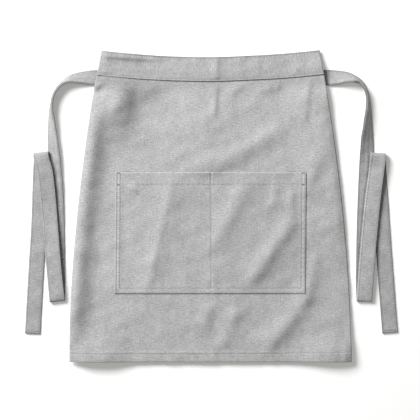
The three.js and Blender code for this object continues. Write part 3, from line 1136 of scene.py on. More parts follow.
@dataclass(frozen=True)
class PocketRelief:
    """How the pocket's face stands up: its layers, its fullness, its rounded edges and its stitch lines."""

    fullness: float = 1.2
    full_start: Ramp = Ramp(0.0, 0.3)
    full_power: float = 1.1
    full_edge: float = 12.0
    turned_layer: float = 0.6
    turned_end: Ramp = Ramp(-1.0, 6.0)
    hem_layer: float = 0.4
    hem_start: Ramp = Ramp(-3.6, 0.6)
    divider_hollow: Mark = Mark(0.25, 3.0)
    twin_ridge: Mark = Mark(0.4, 1.2)
    rounding: float = 1.3
    side_round: float = 0.55
    mouth_round: float = 1.7
    side_pucker: Mark = Mark(0.14, 7.0, 5.0)
    side_wave: Ripple = Ripple(8.3, 0.7, 23.0)
    hem_pucker: Mark = Mark(0.12, 7.0)
    hem_wave: Ripple = Ripple(9.1, 0.9, 19.0)
    line: Mark = Mark(0.18, 1.2)
    hem_line: Mark = Mark(0.054, 1.2)
    tack: Mark = Mark(0.3, 1.2)
    least: float = 0.15


@dataclass(frozen=True)
class PocketPaintedShade:
    """Painted shade of the pocket's cloth along its seams, at its tacks and on its edges turned from the
    light, and painted highlight on the raised strips and edges that face it.
    """

    line: Mark = Mark(1.0, 0.8)
    left_reach: float = 20.0
    left_edge: float = 0.68
    left_second: float = 0.62
    edge: float = 0.1
    second: float = 0.34
    hem_line: float = 0.05
    hem_wave: Ripple = Ripple(8.0 * math.tau, 1.7, 23.0)
    divider: float = 0.32
    top_tack: Mark = Mark(1.3, 1.2)
    low_tack: Mark = Mark(1.3, 1.1)
    bar: Mark = Mark(0.7, 1.0)
    bar_part: Mark = Mark(1.0, 2.6, -3.0)
    # Painted shade on the right and bottom edges, turned from the light
    rim: float = 0.6
    rim_end: Ramp = Ramp(0.3, 1.0)
    rim_mouth: float = 0.8
    rim_side: float = 1.3
    rim_low: float = 1.5
    # Painted highlight on the raised strips, the left edge, beside the divider and under the mouth's hem
    strip: Mark = Mark(0.26, 1.8)
    outer: float = 0.2
    outer_end: Ramp = Ramp(0.4, 1.4)
    twin: Mark = Mark(0.4, 1.0)
    twin_start: Ramp = Ramp(-1.0, 2.0)
    below_hem: Mark = Mark(0.25, 0.9, -2.2)
    below_part: Mark = Mark(1.0, 16.0, 148.0)
    cover: float = 3.0


@dataclass
class Pocket:
    """The patch on the skirt, sewn round three sides and down the middle.

    half, top and depth are its outline. It leans a little to the right, and its lines lie further in
    along the bottom, by foot. Tacks join its twin lines at the mouth and below the mouth's hem.
    mouth_shadows are the places along the mouth where a painted shadow is strongest, as if it stood open
    a little, each with its length.
    """

    drape: Drape
    half: float = 171.4
    top: float = 61.6
    depth: float = 218.2
    mouth_hem: float = 20.4
    divider: float = 0.5
    twin: float = 3.0
    lean: float = 0.007
    edge_line: float = 2.5
    second_line: float = 8.3
    foot: float = 1.28
    turn_under: float = 9.0
    edge_steps: tuple[float, float] = (0.15, 0.5)
    hem_inset: float = 1.0
    tack_down: float = 1.4
    tack_below: float = 2.4
    tack_end: float = 0.5
    bar_down: float = 3.4
    mouth_shadows: tuple[tuple[float, float], ...] = ((-147.0, 14.0), (14.0, 13.0), (148.0, 10.0))
    mouth_shadow_least: float = 0.25
    lip: float = 1.0
    lip_turns: tuple[float, ...] = (30.0, 90.0, 150.0)
    lip_depth: float = 0.5
    back_rows: int = 6
    back_start: float = 0.4
    back_inset: float = 1.5
    back_depth: float = 1.0
    skirt_gap: float = 0.12
    wall: float = 0.45
    step: float = 2.4
    stitch_down: float = 1.6
    stitch_end: float = 1.0
    tack_inset: float = 0.6
    # Painted shade of the tack threads, and painted shadow at the needle holes of some lines
    tack_painted_shade: float = 0.75
    foot_hole_painted_shadow: float = 0.6
    right_hole_painted_shadow: float = 0.8
    hem_hole_painted_shadow: float = 0.3
    side_samples: int = 150
    foot_samples: int = 220
    hem_samples: int = 120
    tack_samples: int = 12
    flat_aside: float = 700.0
    relief: PocketRelief = PocketRelief()
    painted_shades: PocketPaintedShade = PocketPaintedShade()
    node: str = "patch_pocket"
    slot: str = "pocket_cloth"

    @property
    def bottom(self) -> float:
        """Place of the pocket's lower edge."""
        return self.top - self.depth

    @property
    def hem_line(self) -> float:
        """Place of the stitch line of the mouth's hem."""
        return self.top - self.mouth_hem

    def leant(self, y: np.ndarray) -> np.ndarray:
        """Give how far the pocket's middle line lies to the right at a height."""
        return self.lean * (y - self.bottom - self.depth / 2)

    def above_foot(self, y: np.ndarray) -> np.ndarray:
        """Give the distance in from the bottom, in the measure of the sides."""
        return (y - self.bottom) / self.foot

    def inset(self, x: np.ndarray, y: np.ndarray) -> np.ndarray:
        """Give the distance in from the sewn edges."""
        return np.minimum(self.half - np.abs(x - self.leant(y)), self.above_foot(y))

    def tacked(self, inset: np.ndarray) -> np.ndarray:
        """Tell where the tacks can lie, between the twin lines."""
        return (inset > self.edge_line - self.tack_end) & (inset < self.second_line + self.tack_end)

    def sewn(self, x: np.ndarray, y: np.ndarray) -> np.ndarray:
        """Give how far the stitches draw the cloth in.

        Args:
            x: Places to the right of the middle.
            y: Places towards the waist.

        Returns:
            The depth at each place.
        """
        relief = self.relief
        inset = self.inset(x, y)
        lines = np.maximum(relief.line(inset - self.edge_line), relief.line(inset - self.second_line))
        across = relief.hem_line(y - self.hem_line) * (inset > self.hem_inset)
        middle = relief.line(x - self.divider) * (inset > self.second_line)
        tacks = np.maximum(
            relief.tack(y - self.top + self.tack_down),
            relief.tack(y - self.hem_line + self.tack_below),
        )
        return np.maximum.reduce([lines, across, middle, tacks * self.tacked(inset)])

    def darker(self, x: np.ndarray, y: np.ndarray) -> np.ndarray:
        """Give the painted shade along the seams, at the tacks and on the edges turned from the light.

        Args:
            x: Places to the right of the middle.
            y: Places towards the waist.

        Returns:
            The shade at each place.
        """
        painted_shades = self.painted_shades
        inset = self.inset(x, y)
        aside = x - self.leant(y)
        left, right, low = self.half + aside, self.half - aside, self.above_foot(y)
        on_left = (left < painted_shades.left_reach) & (left < low)
        edge = np.where(on_left, painted_shades.left_edge, painted_shades.edge) * painted_shades.line(inset - self.edge_line)
        second = np.where(on_left, painted_shades.left_second, painted_shades.second)
        second = second * painted_shades.line(inset - self.second_line)
        uneven = painted_shades.hem_line * (1.0 + painted_shades.hem_wave(x, x))
        across = painted_shades.line(y - self.hem_line) * uneven * (inset > self.hem_inset)
        middle = painted_shades.divider * painted_shades.line(x - self.divider) * (inset > self.second_line)
        top_tack = painted_shades.top_tack(y - self.top + self.tack_down)
        low_tack = painted_shades.low_tack(y - self.hem_line + self.tack_below)
        tacks = np.maximum(top_tack, low_tack) * self.tacked(inset)
        bar = painted_shades.bar(y - self.top + self.bar_down) * painted_shades.bar_part(x - self.divider)
        right_share = np.where(y > self.hem_line, painted_shades.rim_mouth, painted_shades.rim_side)
        rim = painted_shades.rim * (1.0 - painted_shades.rim_end(np.minimum(right * right_share, painted_shades.rim_low * low)))
        return np.maximum.reduce([edge, second, across, middle, tacks, bar, rim])

    def lighter(self, x: np.ndarray, y: np.ndarray) -> np.ndarray:
        """Give the painted highlight on the raised strips, the left edge, beside the divider and under the
        mouth's hem.

        Args:
            x: Places to the right of the middle.
            y: Places towards the waist.

        Returns:
            The share painted lighter at each place.
        """
        painted_shades = self.painted_shades
        strip = painted_shades.strip(self.inset(x, y) - (self.edge_line + self.second_line) / 2)
        outer = painted_shades.outer * (1.0 - painted_shades.outer_end(self.half + x - self.leant(y)))
        twins = painted_shades.twin(np.abs(x - self.divider) - self.twin) * painted_shades.twin_start(y - self.hem_line)
        below = painted_shades.below_hem(y - self.hem_line) * painted_shades.below_part(np.abs(x))
        return np.maximum.reduce([strip, outer, twins, below])

    def shade(self, x: np.ndarray, y: np.ndarray) -> np.ndarray:
        """Give the cloth's painted shade, the painted dark seams covering the painted light strips."""
        dark = self.darker(x, y)
        return dark - self.lighter(x, y) * (1.0 - np.clip(self.painted_shades.cover * dark, 0.0, 1.0))

    def painted_mouth_shadow(self, x: np.ndarray) -> np.ndarray:
        """Give the painted shadow along the mouth's lip, strongest where the mouth would stand open a
        little.
        """
        opened = [bell(x - middle, length) for middle, length in self.mouth_shadows]
        return np.maximum.reduce(opened + [np.full_like(x, self.mouth_shadow_least)])

    def front(self, x: np.ndarray, y: np.ndarray) -> np.ndarray:
        """Give the height of the pocket's front face.

        Args:
            x: Places to the right of the middle.
            y: Places towards the waist.

        Returns:
            The height over each place of the floor.
        """
        relief = self.relief
        inset = self.inset(x, y)
        beside = np.abs(x - self.divider)
        across = np.clip((beside - self.twin) / (self.half - relief.full_edge), 0.0, 1.0)
        up = np.clip((y - self.bottom) / self.depth, 0.0, 1.0)
        stand = relief.fullness * np.sin(np.pi * across) ** relief.full_power * relief.full_start(up)
        turned = relief.turned_layer * (1.0 - relief.turned_end(inset - self.turn_under))
        hemmed = relief.hem_start(y - self.hem_line)
        layers = 1.0 + np.maximum(turned, relief.hem_layer * hemmed)
        divider = relief.divider_hollow(beside) - relief.twin_ridge(beside - self.twin) * hemmed
        side_edge = 1.0 - np.sqrt(np.clip(inset / relief.side_round, 0.0, 1.0))
        mouth_edge = 1.0 - np.sqrt(np.clip((self.top - y) / relief.mouth_round, 0.0, 1.0))
        rounded = relief.rounding * (side_edge + mouth_edge)
        pucker = relief.side_pucker(inset) * relief.side_wave(y, y)
        pucker += relief.hem_pucker(y - self.hem_line) * relief.hem_wave(x, x)
        raised = layers + stand - divider - rounded + pucker - self.sewn(x, y)
        return self.drape.skirt_top(x, y) + np.maximum(raised, relief.least)

    def columns(self) -> np.ndarray:
        """Choose the places across that get a column of points.

        Returns:
            The places, from left to right.
        """
        sides = (self.half - self.edge_line, self.half - self.second_line)
        twins = (self.divider - self.twin, self.divider, self.divider + self.twin)
        x = stations(-self.half, self.half, self.step, tuple(-side for side in sides) + twins + sides)
        ends = [sign * (self.half - step) for sign in (-1.0, 1.0) for step in self.edge_steps]
        return np.unique(np.concatenate([x, ends]))

    def lines(self) -> np.ndarray:
        """Choose the heights that get a row of points.

        Returns:
            The heights, from the mouth down.
        """
        high = (self.top - self.tack_down, self.top - self.bar_down, self.hem_line)
        low = tuple(self.bottom + mark * self.foot for mark in (self.edge_line, self.second_line))
        marks = high + (self.hem_line - self.tack_below,) + low
        y = stations(self.top, self.bottom, self.step, marks)
        return np.unique(np.concatenate([y, [self.bottom + step for step in self.edge_steps]]))[::-1]

    def sheet(self) -> ClothSheet:
        """Work out the patch, with its mouth's hem folded to the back.

        Returns:
            The sheet, from the lower edge of the mouth's hem, over the lip and down the front.
        """
        x, y = np.meshgrid(self.columns(), self.lines())
        x = x + self.leant(y)
        front = np.stack([x, y, self.front(x, y)], axis=-1)
        lip = front[0]
        back = []
        for down in np.linspace(self.mouth_hem - self.back_inset, self.back_start, self.back_rows):
            yb = lip[:, 1] - down
            skirt = self.drape.skirt_top(lip[:, 0], yb) + self.skirt_gap
            zb = np.maximum(self.front(lip[:, 0], yb) - self.back_depth, skirt)
            back.append(np.stack([lip[:, 0], yb, zb], axis=-1))
        skirt = self.drape.skirt_top(lip[:, 0], lip[:, 1]) + self.skirt_gap
        fold = []
        for turn in np.radians(self.lip_turns):
            way = np.array([0.0, self.lip * math.sin(turn), -self.lip_depth * (1.0 + math.cos(turn))])
            turned = lip + way
            turned[:, 2] = np.maximum(turned[:, 2], skirt)
            fold.append(turned)
        points = np.concatenate([np.array(back), np.array(fold), front])
        # Painted shade on the front, and painted shadow along the mouth's lip
        shade = np.zeros(points.shape[:2])
        shade[-len(y) :] = self.shade(x, y)
        shade[len(back) : -len(y)] = self.painted_mouth_shadow(lip[:, 0])
        return ClothSheet(points, flat_map(points, points.shape[1] // 3, self.flat_aside), shade)

    def stitch_lines(self) -> list[Seam]:
        """Trace the pocket's stitch lines.

        Returns:
            The lines on its front face.
        """
        seams = []

        def sew(x: np.ndarray, y: np.ndarray, dark: float = 0.0, holes: float = 1.0) -> None:
            """Add one line."""
            seams.append(surface_line(self.front, x, y, dark, holes))

        high = self.top - self.stitch_down
        for mark in (self.edge_line, self.second_line):
            side, low = self.half - mark, self.bottom + mark * self.foot
            y = np.linspace(high, low, self.side_samples)
            x = np.linspace(-side, side, self.foot_samples)
            sew(self.leant(y) - side, y)
            sew(x + self.leant(low), np.full_like(x, low), holes=self.foot_hole_painted_shadow)
            sew(self.leant(y[::-1]) + side, y[::-1], holes=self.right_hole_painted_shadow)
        inner, outer = self.half - self.second_line, self.half - self.edge_line
        for sign in (-1, 1):
            start, end = sign * (inner - self.stitch_end), self.divider + sign * self.stitch_end
            x = np.linspace(start, end, self.hem_samples)
            sew(x, np.full_like(x, self.hem_line), holes=self.hem_hole_painted_shadow)
            start, end = sign * (inner + self.tack_inset), sign * (outer - self.tack_inset)
            tack = np.linspace(start, end, self.tack_samples)
            for place in (self.top - self.tack_down, self.hem_line - self.tack_below):
                sew(tack, np.full_like(tack, place), dark=self.tack_painted_shade)
        low = self.bottom + self.second_line * self.foot + self.stitch_end
        y = np.linspace(high, low, self.side_samples)
        sew(np.full_like(y, self.divider), y)
        return seams

    def build(self, cloth: bpy.types.Material, thread: bpy.types.Material) -> bpy.types.Object:
        """Make the pocket and its stitches.

        Args:
            cloth: The pocket's finish.
            thread: The stitches' finish.

        Returns:
            The pocket's object.
        """
        piece = make_piece("pocket", self.sheet().to_bmesh(), cloth)
        thicken(piece, self.wall)
        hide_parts(self.node)
        stitches = sew_lines("pocket_stitches", self.stitch_lines(), thread)
        return piece


@dataclass(frozen=True)
class Section:
    """One section of a tie: its outer edge, its underside's height, and how it is turned.

    across is the plan direction from the outer edge to the inner one and tilt how steeply the inner
    edge stands up, both in degrees. turn is 1 or -1 where the strap folds back on itself towards +Y or
    -Y, round a loop of the given radius. chord is the share of the width left from edge to edge where a
    bend bunches the strap into lengthwise pleats.
    """

    x: float
    y: float
    z: float
    across: float
    tilt: float
    turn: int = 0
    radius: float = 0.0
    chord: float = 1.0

    def spread(self) -> list["Section"]:
        """Spell a fold out as the sections of its loop.

        Returns:
            The sections, or this one alone where the strap runs on.
        """
        if not self.turn:
            return [self]
        loop = []
        for turned in FOLD_TURNS:
            a = math.radians(turned if self.turn < 0 else 180.0 - turned)
            y = self.y + self.turn * math.sin(a) * self.radius
            z = self.z + (1.0 - math.cos(a)) * self.radius
            loop.append(Section(self.x, y, z, self.across, self.tilt))
        return loop


# The ties' sections from the waist to the free end, placed along the edges that show
LEFT_SECTIONS = (
    Section(-174, 246, 0, -90, 0),
    Section(-200, 246, 0, -90, 2),
    Section(-214, 245.4, 0, -90, 6, chord=0.97),
    Section(-229, 243.2, 0, -86, 16, chord=0.87),
    Section(-246, 239.4, 0, -80, 35, chord=0.77),
    Section(-258, 233.8, 0, -66, 54, chord=0.7),
    Section(-267, 226, 0, -52, 71, chord=0.66),
    Section(-276, 215, 0, -34, 82, chord=0.65),
    Section(-282.6, 202.5, 0, -18, 86, chord=0.64),
    Section(-286.2, 190, 0, -9, 86, chord=0.63),
    Section(-289.8, 173.7, 0, -4, 72, chord=0.62),
    Section(-292, 155.7, 0, -1, 48, chord=0.63),
    Section(-292.9, 128.7, 0, 0, 28, chord=0.7),
    Section(-292.9, 101.7, 0, 0, 21, chord=0.82),
    Section(-292.6, 70, 0, 0, 14, chord=0.9),
    Section(-291.4, 21, 0, 0, 6, chord=0.97),
    Section(-290, -60, 0, 1, 0),
    Section(-289, -145, 0, 2, 0),
    Section(-289.4, -167.8, 0, 5, 0, -1, 3.6),
    Section(-293.6, -125, 5.4, 6, 8),
    Section(-299.2, -60, 5.2, 6, 7),
    Section(-303, -14, 5.8, 6, 2),
    Section(-307.6, 38, 11, 6, -4),
    Section(-311.4, 66, 12, 7, -4),
    Section(-318, 89.6, 0, 6, 0, 1, 5.8),
    Section(-320, 50, 0, 0, 0),
    Section(-322.6, -30, 0, -2, 0),
    Section(-328, -120, 0, -3, 0),
    Section(-334, -228, 0, -3, 0),
)
RIGHT_SECTIONS = (
    Section(174, 246, 0, -90, 0),
    Section(200, 246, 0, -90, 0),
    Section(214, 245.6, 0, -90, 4),
    Section(230, 244.4, 0, -91, 13, chord=0.93),
    Section(246, 242, 0, -96, 35, chord=0.84),
    Section(260, 236.4, 0, -108, 53, chord=0.8),
    Section(271, 227.6, 0, -124, 64, chord=0.56),
    Section(278.8, 216.8, 0, -146, 73, chord=0.51),
    Section(284.2, 204, 0, -166, 73.5, chord=0.51),
    Section(287.6, 188.6, 0, -176, 65, chord=0.54),
    Section(290.2, 168, 0, -180, 54, chord=0.71),
    Section(292, 143, 0, -180, 41, chord=0.868),
    Section(293.4, 116, 0, -180, 25, chord=0.927),
    Section(294, 87, 0, -180, 9, chord=0.937),
    Section(293, 39, 0, -179, 1, chord=0.97),
    Section(290.6, -60, 0, -179, 0),
    Section(289.8, -145, 0, -180, 0),
    Section(290.6, -168, 0, -182, 0, -1, 2.7),
    Section(293.4, -125, 8.2, -185, -10),
    Section(299, -60, 6, -185.5, -6),
    Section(306, 12, 7, -186, -7),
    Section(312.6, 66, 10, -185, -13),
    Section(315.4, 89.8, 0, -183, 0, 1, 4.8),
    Section(317.6, 44, 0, -177, 0),
    Section(323, -40, 0, -176, 0),
    Section(329.6, -130, 0, -175.5, 0),
    Section(337, -226, 0, -175, 0),
)


def through(points: np.ndarray, counts: list[int]) -> np.ndarray:
    """Draw a smooth curve through points, as a centripetal Catmull-Rom spline.

    Args:
        points: The points, in order.
        counts: How many steps each stretch between two points gets.

    Returns:
        The points of the curve.
    """
    first, last = 2 * points[0] - points[1], 2 * points[-1] - points[-2]
    knots = np.concatenate([[first], points, [last]])
    curve = [points[0]]
    for index, count in enumerate(counts):
        p0, p1, p2, p3 = knots[index : index + 4]
        stretches = ((p0, p1), (p1, p2), (p2, p3))
        d0, d1, d2 = (max(np.linalg.norm(b - a) ** 0.5, LEAST_ROOT) for a, b in stretches)
        t1 = ((p1 - p0) / d0 - (p2 - p0) / (d0 + d1) + (p2 - p1) / d1) * d1
        t2 = ((p2 - p1) / d1 - (p3 - p1) / (d1 + d2) + (p3 - p2) / d2) * d1
        for step in range(1, count + 1):
            t = step / count
            bend = (2 * p1 - 2 * p2 + t1 + t2) * t**3 + (3 * p2 - 3 * p1 - 2 * t1 - t2) * t**2
            curve.append(bend + t1 * t + p1)
    return np.array(curve)


class Side(Enum):
    """Which end of the waist a tie is sewn to."""

    LEFT = "left"
    RIGHT = "right"


@dataclass
class Tie:
    """A folded and edge-stitched strap, laid down in three runs.

    rim and curl say how a raised inner edge curls over, clear how far the stitches stay off the floor.
    pleat_ and crease_ values shape the bunched bend and the small creases. stitch_painted_shade,
    end_hem_painted_shade and lee_painted_shade paint shade along its stitch lines, at its end's hem and
    on its edge turned from the light. painted_edges is whether its inner edges get painted shade, and a
    painted highlight where a run rises, by the inner_painted_shade, light and painted_highlight_start
    values, with a painted shadow beside the run that lies over the first by the beside_ values. Its three
    runs lie below run_top.
    """

    side: Side
    sections: tuple[Section, ...]
    seed: int
    painted_edges: bool = False
    width: float = 28.0
    wall: float = 2.0
    step: float = 2.6
    across_step: float = 1.6
    rounds: tuple[float, ...] = (60.0, 20.0, -20.0, -60.0)
    stitch_inset: float = 2.8
    end_hem: float = 5.0
    end_start: Ramp = Ramp(-0.5, 1.0)
    end_swell: float = 0.25
    end_lift: float = 0.15
    end_samples: int = 14
    least_steps: int = 3
    least_chord: float = 0.5
    pleats: int = 3
    pleat_share: float = 0.22
    rim: float = 4.0
    curl: float = 2.1
    clear: float = 0.4
    creases: int = 14
    crease_lengths: tuple[float, float] = (15.0, 60.0)
    crease_lean: float = 1.2
    crease_slope: float = 0.00175
    puff: float = 0.12
    groove: Mark = Mark(0.22, 0.9)
    # Painted shade along the stitch lines, at the end's hem and on the edge turned from the light
    stitch_painted_shade: Mark = Mark(0.36, 0.7)
    end_hem_painted_shade: Mark = Mark(0.5, 0.8)
    lee_painted_shade: float = 1.1
    lee_start: Ramp = Ramp(-1.3, -0.5)
    run_top: float = 120.0
    # Painted shade on the inner edges, a painted highlight on them where a run rises, and a painted shadow
    # beside the run that lies over the first
    inner_painted_shade: float = 0.8
    inner_painted_shade_start: Ramp = Ramp(-2.4, -1.2)
    light: float = 0.35
    painted_highlight_start: Ramp = Ramp(-2.2, -1.2)
    beside_gap: float = 2.3
    beside_painted_shadow: Mark = Mark(0.9, 1.4)
    beside_end: float = 6.0
    beside_slant: float = 0.5
    slot: str = "tie_cloth"
    middle: np.ndarray = field(init=False)
    over: np.ndarray = field(init=False)
    up: np.ndarray = field(init=False)
    run: np.ndarray = field(init=False)
    chord: np.ndarray = field(init=False)
    pleat: np.ndarray = field(init=False)

    def __post_init__(self) -> None:
        """Work out the strap's middle line, its direction across and its face's direction."""
        outer, inner = [], []
        for part in (part for section in self.sections for part in section.spread()):
            turn, rise = math.radians(part.across), math.radians(part.tilt)
            flat = math.cos(rise)
            reach = np.array([flat * math.cos(turn), flat * math.sin(turn), math.sin(rise)])
            edge = np.array([part.x, part.y, part.z + self.wall / 2 * flat])
            outer.append(edge)
            inner.append(edge + reach * self.width * part.chord)
        gaps = np.linalg.norm(np.diff(np.array(outer), axis=0), axis=1)
        counts = [max(self.least_steps, math.ceil(gap / self.step)) for gap in gaps]
        a, b = through(np.array(outer), counts), through(np.array(inner), counts)
        spans = np.linalg.norm(b - a, axis=1)
        self.over = (b - a) / spans[:, None]
        self.chord = np.clip(spans / self.width, self.least_chord, 1.0)
        pleat_width = spans / self.pleats / math.pi
        self.pleat = self.pleat_share * pleat_width * np.sqrt(1.0 / self.chord - 1.0)
        self.middle = (a + b) / 2
        up = np.cross(np.gradient(self.middle, axis=0), self.over)
        sign = 1.0 if self.side is Side.LEFT else -1.0
        self.up = sign * up / np.linalg.norm(up, axis=1)[:, None]
        self.run = lengths(self.middle)

    @property
    def length(self) -> float:
        """Length of the strap along its middle."""
        return float(self.run[-1])

    def lift(self, across: np.ndarray) -> np.ndarray:
        """Give how far the strap stands off its straight section, from its pleats and from small creases.

        Args:
            across: Distances from the middle line.

        Returns:
            The distance along the face's direction, for each place along and each place across.
        """
        shape = np.cos(math.tau * self.pleats * across / self.width)
        rng = np.random.default_rng(self.seed)
        crease = np.zeros((len(self.run), len(across)))
        for _ in range(self.creases):
            length = rng.uniform(*self.crease_lengths)
            lean = rng.uniform(-self.crease_lean, self.crease_lean)
            phase = rng.uniform(0.0, math.tau)
            wave = (self.run[:, None] + lean * across[None]) * math.tau / length + phase
            crease += np.sin(wave) * self.crease_slope * length
        return self.pleat[:, None] * shape[None] + crease

    def place(self, across: np.ndarray, height: np.ndarray) -> np.ndarray:
        """Place points of the section all along the strap, with its raised edge curled over.

        Args:
            across: Distances from the middle line.
            height: Distances off the strap's middle layer, for each place along and each place across.

        Returns:
            The points, for each place along and each place across.
        """
        start = self.width / 2 - self.rim
        past = np.clip(across - start, 0.0, None)[None]
        turned = self.curl * self.over[:, 2:] ** 2 * past / self.rim
        along = np.minimum(across, start)[None] + past * np.sinc(turned / math.pi)
        fall = past * np.sin(turned / 2) * np.sinc(turned / math.tau)
        side = along * self.chord[:, None] + height * np.sin(turned)
        rise = self.lift(across) - fall + height * np.cos(turned)
        sideways = self.over[:, None] * side[..., None]
        return self.middle[:, None] + sideways + self.up[:, None] * rise[..., None]

    def face(self, offset: np.ndarray) -> np.ndarray:
        """Give half of the strap's thickness at a distance from its middle line."""
        puff = self.puff * np.cos(offset / self.width * math.pi)
        return self.wall / 2 + puff - self.groove(self.width / 2 - np.abs(offset) - self.stitch_inset)

    def section(self) -> tuple[np.ndarray, np.ndarray]:
        """Go once round the strap's section.

        Returns:
            The distances across and up of its points. The last point is the first one.
        """
        flat = self.width / 2 - self.wall / 2
        inset = self.width / 2 - self.stitch_inset
        top = stations(-flat, flat, self.across_step, (-inset, inset))
        face = self.face(top)
        rounds = np.radians(self.rounds)
        right = flat + np.cos(rounds) * self.wall / 2
        lift = np.sin(rounds) * self.wall / 2
        across = np.concatenate([top, right, top[::-1], -right[::-1], top[:1]])
        height = np.concatenate([face, lift, -face[::-1], lift[::-1], face[:1]])
        return across, height

    def swept(self) -> np.ndarray:
        """Sweep the section along the strap.

        Returns:
            The points, for each place along and each place round.
        """
        across, height = self.section()
        left = self.length - self.run
        swell = 1.0 + self.end_swell * (1.0 - self.end_start(left - self.end_hem))
        return self.place(across, height[None] * swell[:, None])

    def settled(self) -> np.ndarray:
        """Give how far each section is raised so that its stitches clear the floor."""
        return np.maximum(self.clear - self.swept()[..., 2].min(axis=1), 0.0)

    def sheet(self) -> ClothSheet:
        """Make the strap's surface, resting on the floor where it would sink.

        Returns:
            The sheet, which closes round the section.
        """
        across, height = self.section()
        points = self.swept()
        points[..., 2] += self.settled()[:, None]
        round_section = lengths(np.stack([across, height], axis=-1))
        flat = np.stack(np.broadcast_arrays(round_section[None, :], -self.run[:, None]), axis=-1)
        inset = self.width / 2 - np.abs(across)
        # Painted shade along the stitch lines, at the end's hem and on the edge turned from the light
        sewn = self.stitch_painted_shade(inset - self.stitch_inset)[None]
        hem = self.end_hem_painted_shade(self.length - self.run - self.end_hem)[:, None]
        hem = hem * (inset > self.stitch_inset)[None]
        lee = across if self.side is Side.LEFT else -across
        edge = self.lee_painted_shade * self.lee_start(lee - self.width / 2)[None]
        shade = np.maximum(np.maximum(sewn, hem), edge)
        # Painted shade and highlight on the inner edges, and painted shadow beside the overlying run
        if self.painted_edges:
            shade = shade + self.painted_edge_shade(across)
        return ClothSheet(points, flat, shade)

    def painted_edge_shade(self, across: np.ndarray) -> np.ndarray:
        """Give the painted shade and highlight of the inner edges, and the painted shadow on the first run
        beside the run that lies over it.

        Args:
            across: Distances from the middle line.

        Returns:
            The painted shade for each place along and each place across, below 0 where it is a painted
            highlight.
        """
        x, y = self.middle[:, 0], self.middle[:, 1]
        rising = (np.gradient(y) > 0.0) & (y < self.run_top)
        inner = (self.middle + self.over * self.width / 2)[rising]
        second = inner[np.argsort(inner[:, 1])]
        beside = np.interp(y, second[:, 1], second[:, 0]) - self.beside_gap
        spot = (beside - x) / self.over[:, 0].clip(-1.0, -self.beside_slant)
        first = (np.arange(len(y)) < np.argmax(rising)) & (y < second[-1, 1] - self.beside_end)
        # Painted shadow beside the overlying run, painted shade on the inner edges, painted highlight where
        # a run rises
        line = self.beside_painted_shadow(across[None] - spot[:, None]) * first[:, None]
        painted_inner = self.inner_painted_shade * self.inner_painted_shade_start(across - self.width / 2)[None]
        light = -self.light * self.painted_highlight_start(across - self.width / 2)[None]
        return np.where(rising[:, None], light, np.maximum(painted_inner, line))

    def edge_seam(self, offset: float, depth: float) -> Seam:
        """Trace a stitch line along the strap.

        Args:
            offset: Its distance from the middle line.
            depth: Its distance off the middle layer, below 0 on the back.

        Returns:
            The line.
        """
        across = np.array([offset])
        rise = np.array([0.0, 0.0, 1.0]) * self.settled()[:, None]
        line = self.place(across, np.full((len(self.run), 1), depth))[:, 0] + rise
        inside = self.place(across, np.zeros((len(self.run), 1)))[:, 0] + rise
        return Seam(line, (line - inside) / abs(depth))

    def end_seam(self, reach: float, sign: float) -> Seam:
        """Trace the stitch line of the free end's hem.

        Args:
            reach: How far it goes to both sides of the middle line.
            sign: 1 on the front, -1 on the back.

        Returns:
            The line.
        """
        last = self.length - self.end_hem

        def at_hem(values: np.ndarray) -> np.ndarray:
            """Read a direction or a place at the hem."""
            return np.array([np.interp(last, self.run, values[:, axis]) for axis in range(3)])

        out = at_hem(self.up) * sign
        across = np.linspace(-reach, reach, self.end_samples)[:, None]
        line = at_hem(self.middle) + at_hem(self.over) * across + out * (self.wall / 2 + self.end_lift)
        line[:, 2] += np.interp(last, self.run, self.settled())
        return Seam(line, np.broadcast_to(out, line.shape))

    def stitch_lines(self) -> list[Seam]:
        """Trace the edge stitches on both faces, and the hem of the free end.

        Returns:
            The lines of the back, then those of the front.
        """
        inset = self.width / 2 - self.stitch_inset
        depth = self.face(np.array([inset]))[0]
        lines = []
        for sign in (-1.0, 1.0):
            lines += [self.edge_seam(offset, sign * depth) for offset in (-inset, inset)]
            lines.append(self.end_seam(inset, sign))
        return lines

    def build(self, cloth: bpy.types.Material, thread: bpy.types.Material) -> bpy.types.Object:
        """Make the strap and its stitches.

        Args:
            cloth: The strap's finish.
            thread: The stitches' finish.

        Returns:
            The strap's object.
        """
        label = self.side.value
        piece = make_piece(f"{label}_strap", self.sheet().to_bmesh(closed=True), cloth)
        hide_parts(f"tie_{label}")
        stitches = sew_lines(f"{label}_strap_stitches", self.stitch_lines(), thread)
        return piece


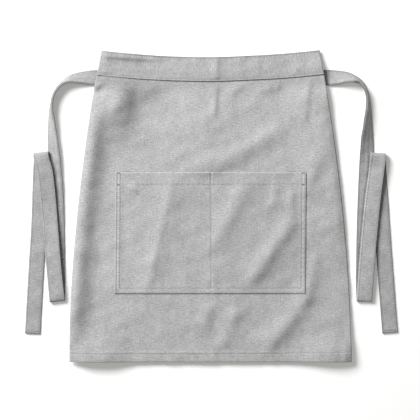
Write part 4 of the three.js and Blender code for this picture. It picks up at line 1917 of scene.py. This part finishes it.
@dataclass
class Studio:
    """The pale floor, the soft light from the upper left and the camera straight above.

    centre, frame_width and camera_height are in millimetres, floor_half and the key light's distance
    and size in metres, and its two angles in degrees.
    """

    centre: tuple[float, float] = (-0.9, -6.3)
    frame_width: float = 756.0
    camera_height: float = 3200.0
    sensor: float = 36.0
    clip_end: float = 50.0
    key_azimuth: float = 135.0
    key_elevation: float = 36.0
    key_distance: float = 3.2
    key_size: float = 1.8
    key_power: float = 168.0
    key_tint: tuple[float, float, float] = (0.998, 1.0, 1.008)
    fill: float = 0.25
    fill_tint: tuple[float, float, float, float] = (1.0, 0.998, 0.965, 1.0)
    floor_half: float = 6.0
    floor_tone: float = 0.91
    floor_glow: float = 0.178
    floor_roughness: float = 0.9
    floor_gloss: float = 0.1

    def camera(self) -> None:
        """Put the camera above the apron, with the waist at the top of the picture."""
        data = bpy.data.cameras.new("camera")
        data.sensor_width = self.sensor
        data.lens = self.sensor * self.camera_height / self.frame_width
        data.clip_end = self.clip_end
        view = bpy.data.objects.new("camera", data)
        view.location = (self.centre[0] * MM, self.centre[1] * MM, self.camera_height * MM)
        bpy.context.collection.objects.link(view)
        bpy.context.scene.camera = view

    def floor(self) -> None:
        """Lay the floor."""
        bm = bmesh.new()
        bmesh.ops.create_grid(bm, x_segments=1, y_segments=1, size=self.floor_half)
        material, _, shader = new_material("floor")
        shader.inputs["Base Color"].default_value = grey(self.floor_tone)
        shader.inputs["Roughness"].default_value = self.floor_roughness
        shader.inputs["Emission Color"].default_value = self.fill_tint
        shader.inputs["Emission Strength"].default_value = self.floor_glow
        shader.inputs["Specular IOR Level"].default_value = self.floor_gloss
        place_mesh("floor", bm, material)

    def lights(self) -> None:
        """Hang the large soft key light and set the even fill."""
        data = bpy.data.lights.new("key", "AREA")
        data.shape = "DISK"
        data.size = self.key_size
        data.energy = self.key_power
        data.color = self.key_tint
        key = bpy.data.objects.new("key", data)
        a, e = math.radians(self.key_azimuth), math.radians(self.key_elevation)
        way = Vector((math.cos(a) * math.cos(e), math.sin(a) * math.cos(e), math.sin(e)))
        key.location = way * self.key_distance
        key.rotation_mode = "QUATERNION"
        key.rotation_quaternion = way.to_track_quat("Z", "Y")
        bpy.context.collection.objects.link(key)
        world = bpy.data.worlds.new("studio")
        world.use_nodes = True
        backdrop = world.node_tree.nodes["Background"]
        backdrop.inputs["Color"].default_value = self.fill_tint
        backdrop.inputs["Strength"].default_value = self.fill
        bpy.context.scene.world = world

    def build(self) -> None:
        """Set up the whole studio."""
        self.camera()
        self.floor()
        self.lights()
        bpy.context.scene.view_settings.view_transform = "Standard"


def main() -> None:
    """Set up the studio, then build the apron in it piece by piece."""
    logging.basicConfig(level=logging.INFO, format="%(name)s: %(message)s")
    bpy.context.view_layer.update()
    Studio().build()
    drape = Drape()
    thread = SewingThread().build()
    left = Tie(Side.LEFT, LEFT_SECTIONS, seed=3)
    right = Tie(Side.RIGHT, RIGHT_SECTIONS, seed=8, painted_edges=True)
    pieces = (
        (Skirt(drape), MelangeCloth("skirt_melange", 0.413)),
        (Waistband(drape), MelangeCloth("waistband_melange", 0.372, weft=Weft.ALONG)),
        (Pocket(drape), MelangeCloth("pocket_melange", 0.397)),
        (left, MelangeCloth("left_tie_melange", 0.345, mottle=0.45)),
        (right, MelangeCloth("right_tie_melange", 0.38, mottle=0.45)),
    )
    for piece, finish in pieces:
        made = piece.build(finish.build(), thread)
        LOG.info("%s: %d faces", made.name, len(made.data.polygons))


if __name__ == "__main__":
    main()
